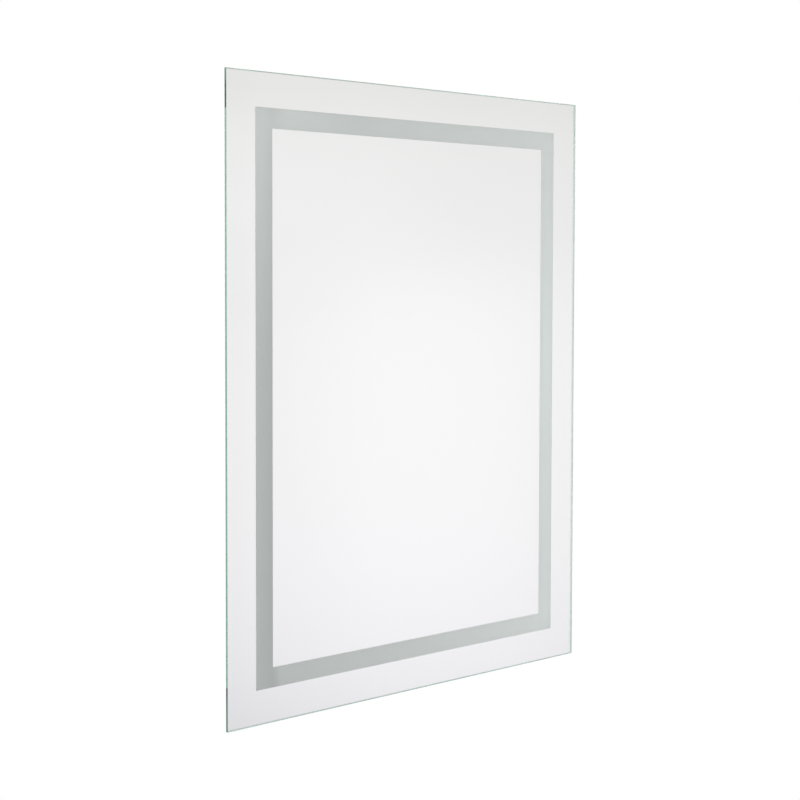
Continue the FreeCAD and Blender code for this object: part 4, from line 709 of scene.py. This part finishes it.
grained = {
    # slot: dark and light colour, slow drift and fine grain per metre, metal, roughness range, relief
    "bonding_foam": ((0.70, 0.70, 0.69), (0.80, 0.80, 0.79), 60, 1400, 0, (0.85, 0.95), (0.5, 0.0002)),
    "key_metal": ((0.50, 0.50, 0.51), (0.64, 0.64, 0.65), 90, 1100, 1, (0.42, 0.6), (0.3, 0.00008)),
    "jumper_jacket": ((0.80, 0.80, 0.79), (0.87, 0.87, 0.86), 50, 900, 0, (0.35, 0.45), (0.05, 0.00002)),
    "black_rubber": (
        (0.018, 0.018, 0.019), (0.034, 0.034, 0.035), 70, 2200, 0, (0.66, 0.82), (0.25, 0.00005)
    ),
    "box_plastic": ((0.70, 0.70, 0.68), (0.75, 0.75, 0.73), 30, 2600, 0, (0.48, 0.6), (0.22, 0.00005)),
    "block_plastic": ((0.78, 0.76, 0.69), (0.84, 0.82, 0.75), 60, 1500, 0, (0.4, 0.5), (0.1, 0.00003)),
    "driver_plastic": ((0.78, 0.78, 0.77), (0.83, 0.83, 0.82), 40, 2400, 0, (0.42, 0.55), (0.18, 0.00005)),
    "demister_film": ((0.70, 0.62, 0.42), (0.77, 0.69, 0.49), 25, 500, 0, (0.15, 0.28), (0.06, 0.0001)),
    "demister_track": ((0.02, 0.02, 0.021), (0.04, 0.04, 0.041), 80, 1800, 0, (0.5, 0.65), (0.12, 0.00003)),
    "sensor_plastic": ((0.02, 0.02, 0.02), (0.032, 0.032, 0.032), 80, 2400, 0, (0.45, 0.6), (0.2, 0.00004)),
    "sensor_window": (
        (0.016, 0.003, 0.004), (0.028, 0.006, 0.008), 120, 800, 0, (0.04, 0.09), (0.02, 0.00001)
    ),
    "tag_brass": ((0.62, 0.55, 0.36), (0.76, 0.70, 0.52), 300, 1600, 1, (0.25, 0.4), (0.1, 0.00003)),
    "lead_jacket": ((0.74, 0.74, 0.73), (0.80, 0.80, 0.79), 60, 900, 0, (0.38, 0.48), (0.05, 0.00003)),
    "clip_plastic": ((0.78, 0.78, 0.76), (0.84, 0.84, 0.82), 90, 1400, 0, (0.4, 0.5), (0.08, 0.00003)),
    "screw_zinc": ((0.60, 0.62, 0.66), (0.76, 0.77, 0.78), 420, 2600, 1, (0.22, 0.36), (0.08, 0.00002)),
    "stud_steel": ((0.58, 0.59, 0.61), (0.72, 0.73, 0.74), 380, 2400, 1, (0.28, 0.4), (0.1, 0.00002)),
}
grainedSpan = (0.35, 0.65)    # most of the drift and the grain together lie between these


def grainedFinish(name):
    dark, light, driftScale, grainScale, metal, rough, relief = grained[name]
    finish, tree, shader = startFinish(name)
    shader.inputs["Metallic"].default_value = metal
    place = objectPlace(tree, (-1100, 0))
    drift = noiseAt(tree, (-800, 200), place, driftScale, 3.0)
    grain = noiseAt(tree, (-800, -200), place, grainScale)
    paint(tree, shader, betweenColours(tree, (-500, 200), drift, (dark, light)))
    blended = mixColour(tree, (-500, -50), 0.5, drift, grain)
    roughen(tree, (-300, -50), shader, blended, *rough, grainedSpan)
    bumpOf(tree, (-300, -300), shader, grain, *relief)
    return finish


finishes = {name: grainedFinish(name) for name in grained}


# patterned finishes

bar = {
    "lineAlong": 4,           # die lines are long along the bar and fine across it
    "lineAcross": 1800,
    "lineShades": ((0.93, 0.93, 0.93), (1, 1, 1)),
    "cloudScale": 22.0,
    "colours": ((0.70, 0.71, 0.72), (0.76, 0.77, 0.78)),
    "rough": (0.30, 0.42),
    "relief": (0.15, 0.00003),
}

panel = {
    "cloudScale": 9.0,
    "colours": ((0.735, 0.735, 0.725), (0.775, 0.775, 0.765)),
    "rough": (0.38, 0.46),
    "peelScale": 620.0,
    "relief": (0.35, 0.00008),
}

zinc = {
    "flakeScale": 230.0,
    "lineStretch": (6, 900, 900),
    "lineShare": 0.4,
    "span": (0.2, 0.8),
    "colours": ((0.53, 0.54, 0.555), (0.63, 0.64, 0.65)),
    "rough": (0.34, 0.5),
    "relief": (0.12, 0.00003),
}


def barFinish(name, along):
    # satin anodised extrusion
    finish, tree, shader = startFinish(name)
    shader.inputs["Metallic"].default_value = 1.0
    slow, fine = bar["lineAlong"], bar["lineAcross"]
    stretch = (slow, fine, fine) if along == "x" else (fine, fine, slow)
    lines = noiseAt(tree, (-800, -200), objectPlace(tree, (-1100, -200), stretch), 1.0, 3.0)
    cloud = noiseAt(tree, (-800, 200), objectPlace(tree, (-1100, 200)), bar["cloudScale"], 3.0)
    colour = betweenColours(tree, (-500, 200), cloud, bar["colours"])
    shade = betweenColours(tree, (-500, 0), lines, bar["lineShades"])
    paint(tree, shader, mixColour(tree, (-200, 200), 1.0, colour, shade, "MULTIPLY"))
    roughen(tree, (-500, -150), shader, lines, *bar["rough"])
    bumpOf(tree, (-300, -350), shader, lines, *bar["relief"])
    return finish


def panelFinish():
    # white powder coat with fine orange peel
    finish, tree, shader = startFinish("powderCoat")
    place = objectPlace(tree, (-1100, 0))
    peel = noiseAt(tree, (-800, -200), place, panel["peelScale"], 1.0)
    cloud = noiseAt(tree, (-800, 200), place, panel["cloudScale"], 4.0)
    paint(tree, shader, betweenColours(tree, (-500, 200), cloud, panel["colours"]))
    roughen(tree, (-500, 0), shader, cloud, *panel["rough"])
    bumpOf(tree, (-300, -300), shader, peel, *panel["relief"])
    return finish


def sheetZincFinish():
    # zinc-coated sheet: soft crystal flakes, and rolling lines along the rail
    finish, tree, shader = startFinish("coatedSheet")
    shader.inputs["Metallic"].default_value = 1.0
    flake = addNode(tree, "ShaderNodeTexVoronoi", (-1000, 200))
    flake.inputs["Scale"].default_value = zinc["flakeScale"]
    tree.links.new(objectPlace(tree, (-1300, 0)), flake.inputs["Vector"])
    tone = splitPlace(tree, (-800, 200), flake.outputs["Color"])[0]
    lines = noiseAt(tree, (-1000, -200), objectPlace(tree, (-1300, -200), zinc["lineStretch"]), 1.0)
    blended = mixColour(tree, (-600, 100), zinc["lineShare"], tone, lines)
    paint(tree, shader, rampOf(tree, (-400, 200), blended, list(zip(zinc["span"], zinc["colours"]))))
    roughen(tree, (-400, 0), shader, blended, *zinc["rough"], zinc["span"])
    bumpOf(tree, (-300, -300), shader, lines, *zinc["relief"])
    return finish


lampRun = {
    "pitch": 0.01667,
    "lineDepth": -0.023,      # the chips' middle line
    "domeHalf": 0.0012,
    "housing": (0.84, 0.84, 0.82),
    "phosphor": ((0.80, 0.62, 0.12), (0.86, 0.72, 0.2)),
    "chipGrain": 3000.0,
    "chipRough": (0.32, 0.42),
    "tapeWhite": ((0.80, 0.80, 0.79), (0.86, 0.86, 0.85)),
    "tapeGrain": 1600.0,
    "tapeRough": (0.36, 0.5),
    "padEvery": 3,            # chips between two cut marks on the tape
    "padAway": 0.0235,        # pads from the chip midway between two cuts, so a pair straddles each cut
    "padSide": 0.0022,        # pads to each side of the middle line
    "padHalf": 0.0011,
    "padColour": (0.70, 0.42, 0.22),
}


def alongRun(tree, spot, along, pitch):
    # distance along the run from the nearest multiple of the pitch, and the depth
    x, y, z = splitPlace(tree, spot, objectPlace(tree, (spot[0] - 200, spot[1]), centre=(0, 0, middleZ)))
    run = x if along == "x" else z
    turns = mathNode(tree, (spot[0] + 200, spot[1]), "DIVIDE", run, pitch)
    near = mathNode(tree, (spot[0] + 400, spot[1]), "PINGPONG", turns, 0.5)
    return mathNode(tree, (spot[0] + 600, spot[1]), "MULTIPLY", near, pitch), y


def farFrom(tree, spot, value, target):
    difference = mathNode(tree, (spot[0] - 200, spot[1]), "SUBTRACT", value, target)
    return mathNode(tree, spot, "ABSOLUTE", difference)


def chipFinish(name, along):
    # white housing with a yellow phosphor window
    finish, tree, shader = startFinish(name)
    away, y = alongRun(tree, (-1200, 0), along, lampRun["pitch"])
    off = farFrom(tree, (-800, -200), y, lampRun["lineDepth"])
    far = mathNode(tree, (-400, 0), "MAXIMUM", away, off)
    window = mathNode(tree, (-200, 0), "LESS_THAN", far, lampRun["domeHalf"])
    grain = noiseAt(tree, (-600, -400), objectPlace(tree, (-900, -400)), lampRun["chipGrain"])
    yellow = betweenColours(tree, (-300, -300), grain, lampRun["phosphor"])
    paint(tree, shader, mixColour(tree, (0, 0), window, lampRun["housing"], yellow))
    roughen(tree, (0, -200), shader, grain, *lampRun["chipRough"])
    return finish


def tapeFinish(name, along):
    # white circuit tape with pairs of tinned copper pads at its cut marks
    finish, tree, shader = startFinish(name)
    away, y = alongRun(tree, (-1200, 0), along, lampRun["pitch"] * lampRun["padEvery"])
    off = farFrom(tree, (-800, -200), y, lampRun["lineDepth"])
    side = farFrom(tree, (-600, -200), off, lampRun["padSide"])
    cut = farFrom(tree, (-600, 0), away, lampRun["padAway"])
    far = mathNode(tree, (-400, 0), "MAXIMUM", cut, side)
    pad = mathNode(tree, (-200, 0), "LESS_THAN", far, lampRun["padHalf"])
    grain = noiseAt(tree, (-600, -400), objectPlace(tree, (-900, -400)), lampRun["tapeGrain"])
    white = betweenColours(tree, (-300, -300), grain, lampRun["tapeWhite"])
    paint(tree, shader, mixColour(tree, (0, 0), pad, white, lampRun["padColour"]))
    tree.links.new(pad, shader.inputs["Metallic"])
    roughen(tree, (0, -200), shader, grain, *lampRun["tapeRough"])
    return finish


earth = {
    "greens": ((0.03, 0.24, 0.05), (0.05, 0.32, 0.07)),
    "stripe": (0.72, 0.62, 0.04),
    "stripeFrom": -0.35,      # where the jacket's normal looks further forward than this
    "grain": 900.0,
    "rough": (0.36, 0.48),
}


def earthFinish():
    # green jacket with a yellow stripe on its front half
    finish, tree, shader = startFinish("earthJacket")
    normal = addNode(tree, "ShaderNodeNewGeometry", (-900, 0)).outputs["Normal"]
    x, y, z = splitPlace(tree, (-700, 0), normal)
    stripe = mathNode(tree, (-500, 0), "LESS_THAN", y, earth["stripeFrom"])
    grain = noiseAt(tree, (-700, -300), objectPlace(tree, (-900, -300)), earth["grain"])
    green = betweenColours(tree, (-500, -300), grain, earth["greens"])
    paint(tree, shader, mixColour(tree, (-200, 0), stripe, green, earth["stripe"]))
    roughen(tree, (-400, -100), shader, grain, *earth["rough"])
    return finish


board = {
    "cellScale": 140.0,
    "tracks": [(0.05, (0.03, 0.20, 0.07)), (0.07, (0.012, 0.085, 0.03))],
    "rough": 0.28,
    "relief": (0.1, 0.00003),
}


def boardFinish():
    # green solder mask over copper tracks
    finish, tree, shader = startFinish("solderMask")
    cells = addNode(tree, "ShaderNodeTexVoronoi", (-900, 0), feature="DISTANCE_TO_EDGE")
    cells.inputs["Scale"].default_value = board["cellScale"]
    tree.links.new(objectPlace(tree, (-1200, 0), (1, 0, 1)), cells.inputs["Vector"])
    paint(tree, shader, rampOf(tree, (-600, 0), cells.outputs["Distance"], board["tracks"]))
    shader.inputs["Roughness"].default_value = board["rough"]
    bumpOf(tree, (-300, -300), shader, cells.outputs["Distance"], *board["relief"])
    return finish


driverParts = {
    # where each kind of component begins along X, and its colour
    "stops": [
        (0.016, (0.78, 0.78, 0.74)), (0.032, (0.03, 0.03, 0.034)), (0.078, (0.72, 0.52, 0.06)),
        (0.110, (0.03, 0.05, 0.14)), (0.1305, (0.45, 0.46, 0.47)), (0.137, (0.78, 0.78, 0.74)),
    ],
    "low": 0.010,
    "high": 0.160,
    "grain": 1800.0,
    "paler": 0.06,            # most that the grain whitens
    "rough": (0.35, 0.5),
    "relief": (0.1, 0.00003),
}


def componentFinish():
    finish, tree, shader = startFinish("componentCases")
    low, high = driverParts["low"], driverParts["high"]
    place = objectPlace(tree, (-1200, 0))
    x, y, z = splitPlace(tree, (-1000, 0), place)
    along = rangeOf(tree, (-800, 0), x, low, high, 0, 1)
    kinds = rampOf(tree, (-600, 0), along, stopsBetween(driverParts["stops"], low, high), "CONSTANT")
    grain = noiseAt(tree, (-800, -300), place, driverParts["grain"])
    paler = rangeOf(tree, (-600, -300), grain, *noiseSpan, 0.0, driverParts["paler"])
    paint(tree, shader, mixColour(tree, (-300, 0), paler, kinds, (1.0, 1.0, 1.0)))
    roughen(tree, (-300, -200), shader, grain, *driverParts["rough"])
    bumpOf(tree, (-300, -400), shader, grain, *driverParts["relief"])
    return finish


acrossBar = barFinish("barAcross", "x")
uprightBar = barFinish("barUpright", "z")
powderCoat = panelFinish()
sheetZinc = sheetZincFinish()

plainCoats = {
    # finish: the nodes that wear it as they are
    "key_metal": [f"corner_key_{end}_{side}" for end in ("top", "bottom") for side in ("left", "right")],
    "jumper_jacket": ["led_jumper_top_left", "led_jumper_top_right", "led_jumper_bottom_left"],
    "block_plastic": ["terminal_block"],
    "driver_plastic": ["driver_case", "driver_lid"],
    "demister_film": ["demister_pad"],
    "demister_track": ["demister_element"],
    "sensor_plastic": ["sensor_module"],
    "sensor_window": ["sensor_lens"],
    "stud_steel": ["earth_stud", "earth_nut", "earth_washer"],
    "tag_brass": ["earth_tag"],
    "lead_jacket": ["lead_mains_driver", "lead_driver_sensor", "lead_sensor_lamps", "lead_demister"],
    "clip_plastic": ["cable_clips"],
}
for side, along in (("top", "x"), ("bottom", "x"), ("left", "z"), ("right", "z")):
    coat([f"bond_tape_{side}"], finishes["bonding_foam"])
    coat([f"led_tape_{side}"], tapeFinish(f"tape_{side}", along))
    coat([f"led_chips_{side}"], chipFinish(f"chips_{side}", along))
for finishName, nodeNames in plainCoats.items():
    coat(nodeNames, finishes[finishName])
coat(["driver_board"], boardFinish())
coat(["driver_components"], componentFinish())
coat(["lead_earth"], earthFinish())
print("inside finished")


# frame bars, panel, rails and terminal box, from their nodes' meshes

softened = [
    # node, piece, body, slot, finish, rounding
    ("frame_top", "topBar", "mirror", "frame_aluminium", acrossBar, 0.00025),
    ("frame_bottom", "lowBar", "mirror", "frame_aluminium", acrossBar, 0.00025),
    ("frame_left", "leftBar", "mirror", "frame_aluminium", uprightBar, 0.00025),
    ("frame_right", "rightBar", "mirror", "frame_aluminium", uprightBar, 0.00025),
    ("back_panel", "rearPanel", "mirror", "panel_steel", powderCoat, 0.0002),
    ("hook_rail", "hookRail", "mirror", "rail_steel", sheetZinc, 0.0002),
    ("wall_rail", "wallRail", "wall", "rail_steel", sheetZinc, 0.0002),
    ("terminal_box", "terminalBox", "mirror", "box_plastic", finishes["box_plastic"], 0.0003),
    ("terminal_lid", "terminalLid", "mirror", "box_plastic", finishes["box_plastic"], 0.0005),
]
for row in softened:
    softCopy(*row)
print("bars, panel, rails and box softened")


# rubber spacers and the cable grommet

spacer = {
    # node, piece, x, z
    "spots": [
        ("wall_spacer_left", "leftSpacer", -0.222, -0.644),
        ("wall_spacer_right", "rightSpacer", 0.222, -0.644),
    ],
    "sides": 56,
    "radius": 0.012,
    "long": 0.009,
    "chamfer": 0.001,
    "groove": 0.0005,
    "grooves": (-0.0074, -0.0054, -0.0034),
    "grooveSteps": ((-0.0004, False), (-0.0001, True), (0.0003, True), (0.0006, False)),    # offset, sunk
    "boreWide": 0.0045,       # for the screw's head
    "boreDeep": 0.005,
    "boreNarrow": 0.002,      # for its shank
    "round": 0.0003,
}


def makeSpacer(nodeName, name, x, z):
    rim = spacer["radius"]
    waist = rim - spacer["groove"]
    wide, narrow, deep = spacer["boreWide"], spacer["boreNarrow"], spacer["boreDeep"]
    rings = [(rim, -spacer["long"])]
    for y in spacer["grooves"]:
        rings += [(waist if sunk else rim, y + step) for step, sunk in spacer["grooveSteps"]]
    rings += [(rim, -spacer["chamfer"]), (rim - spacer["chamfer"], 0.0)]
    rings += [(wide, 0.0), (wide, -deep), (narrow, -deep), (narrow, -spacer["long"])]
    piece = turnPiece(x, z, spacer["sides"], rings)
    softenEdges(piece, spacer["round"], making["turnedAbove"])
    settle(piece, name, "mirror", [finishes["black_rubber"]], [nodeName])


for spot in spacer["spots"]:
    makeSpacer(*spot)

grommet = {
    "x": -0.145,
    "z": -0.110,
    "sides": 48,
    "rings": [
        (0.0085, -0.009), (0.0085, -0.0075), (0.0059, -0.0075), (0.0059, -0.0055), (0.0085, -0.0055),
        (0.0085, -0.0050), (0.0077, -0.0041), (0.0060, -0.004), (0.0051, -0.0043), (0.0042, -0.0041),
        (0.0036, -0.0045), (0.0036, -0.009),
    ],
    "round": 0.0002,
}
ring = turnPiece(grommet["x"], grommet["z"], grommet["sides"], grommet["rings"])
softenEdges(ring, grommet["round"], making["turnedAbove"])
settle(ring, "cableGrommet", "mirror", [finishes["black_rubber"]], ["cable_grommet"])
print("rubber turned")


# screws

panelSpots = [(x, z) for x in (-0.2616, 0.2616) for z in (0.020, -0.317, -0.654)]
panelSpots += [(x, -0.6786) for x in (-0.222, 0, 0.222)]
hookSpots = [(x, 0.0446) for x in (-0.2, -0.06667, 0.06667, 0.2)]

screw = {
    "sides": 32,
    "headRadius": 0.003,
    "headHigh": 0.0018,
    "dome": 0.0011,
    "domeSteps": 5,
    "topEdge": 0.0001,        # edges this near the head's top are domed
    "neck": 0.0006,           # plain shank under the head
    "shankRadius": 0.00145,
    "threadDeep": 0.00022,
    "threadPitch": 0.0008,
    "threadStop": 0.0012,     # the thread ends this far from the tip
    "tip": 0.4,               # the tip's radius, as a share of the last turn's
    "crossHalf": 0.0016,
    "crossWide": 0.0007,
    "crossDeep": 0.0011,
    "crossFoot": 0.45,        # the foot's width, as a share of the top's
    "crossOver": 0.0004,      # the cutter stands this far out of the head
    "smoothBelow": 40,
    "firstTurn": 11,          # degrees; each screw stops at its own angle
    "nextTurn": 37,
    "rows": [
        # node, piece, length, way, seat, spots
        ("panel_screws", "panelScrews", 0.006, 1, -0.009, panelSpots),
        ("hook_rail_screws", "hookScrews", 0.008, 1, -0.0075, hookSpots),
        ("spacer_screws", "spacerScrews", 0.010, 1, -0.005, [(-0.222, -0.644), (0.222, -0.644)]),
        ("terminal_screws", "lidScrews", 0.008, 1, -0.0055, [(-0.159, -0.129), (-0.081, -0.091)]),
        ("driver_screws", "driverScrews", 0.005, -1, -0.0116, [(0.004, -0.110), (0.166, -0.110)]),
    ],
}


def makeCross():
    # the driver's cross, narrower at its foot
    wide, half, deep, over = screw["crossWide"], screw["crossHalf"], screw["crossDeep"], screw["crossOver"]
    top = screw["headHigh"] + over
    arm = half - wide / 2
    bpy.ops.object.select_all(action="DESELECT")
    bpy.ops.mesh.primitive_cube_add(size=1, location=(0, top - (deep + over) / 2, 0))
    bpy.context.active_object.scale = (wide, deep + over, wide)
    cross = addedPiece()

    def armEnd(centre, normal):
        return normal.x * x + normal.z * z > making["facing"] and math.hypot(centre.x, centre.z) < wide

    for x, z in ((1, 0), (-1, 0), (0, 1), (0, -1)):
        pickFaces(cross, armEnd)
        pushOut(x * arm, 0, z * arm)
        bpy.ops.object.mode_set(mode="OBJECT")
    pickFaces(cross, lambda centre, normal: normal.y < -making["facing"])
    foot = screw["crossFoot"]
    bpy.ops.transform.resize(value=(foot, 1, foot), center_override=(0, top - deep, 0))
    closeUp()
    return cross


def makeScrew(length):
    # one pan-head screw at the origin: its head stands towards +Y, its thread goes to -Y
    radius, shank, pitch = screw["headRadius"], screw["shankRadius"], screw["threadPitch"]
    bpy.ops.object.select_all(action="DESELECT")
    bpy.ops.mesh.primitive_cylinder_add(
        vertices=screw["sides"], radius=radius, depth=screw["headHigh"],
        location=(0, screw["headHigh"] / 2, 0), rotation=(math.radians(90), 0, 0),
    )
    piece = addedPiece()
    pickEdges(piece, lambda first, second: min(first.y, second.y) > screw["headHigh"] - screw["topEdge"])
    bpy.ops.mesh.bevel(offset=screw["dome"], segments=screw["domeSteps"], profile=0.5)
    bpy.ops.object.mode_set(mode="OBJECT")
    pickFaces(piece, lambda centre, normal: normal.y < -making["facing"])
    bpy.ops.mesh.inset(thickness=radius - shank)
    pushOut(0, -screw["neck"], 0)
    y = -screw["neck"]
    thin = (shank - screw["threadDeep"]) / shank
    while y > screw["threadStop"] - length:
        for share in (thin, 1 / thin):
            y -= pitch / 2
            pushOut(0, -pitch / 2, 0)
            bpy.ops.transform.resize(value=(share, 1, share), center_override=(0, y, 0))
    pushOut(0, -length - y, 0)
    bpy.ops.transform.resize(value=(screw["tip"], 1, screw["tip"]), center_override=(0, -length, 0))
    closeUp()
    cross = makeCross()
    pickOnly(piece)
    bpy.ops.object.modifier_add(type="BOOLEAN")
    cut = piece.modifiers[-1]
    cut.operation = "DIFFERENCE"
    cut.object = cross
    cut.solver = "EXACT"
    bpy.ops.object.modifier_apply(modifier=cut.name)
    bpy.data.objects.remove(cross)
    bpy.ops.object.shade_smooth_by_angle(angle=math.radians(screw["smoothBelow"]))
    return piece


def makeScrewRow(nodeName, name, length, way, seat, spots):
    pattern = makeScrew(length)
    copies = []
    for count, (x, z) in enumerate(spots):
        pickOnly(pattern)
        bpy.ops.object.duplicate(linked=False)
        copy = bpy.context.active_object
        turn = math.radians(screw["nextTurn"] * count + screw["firstTurn"])
        copy.rotation_euler = (0 if way > 0 else math.pi, turn, 0)
        copy.location = (x, seat, z)
        bpy.ops.object.transform_apply(location=True, rotation=True, scale=True)
        copies.append(copy)
    bpy.data.objects.remove(pattern)
    pickOnly(copies[0])
    for copy in copies:
        copy.select_set(True)
    bpy.ops.object.join()
    settle(bpy.context.active_object, name, "mirror", [finishes["screw_zinc"]], [nodeName])


for row in screw["rows"]:
    makeScrewRow(*row)
print("screws driven")
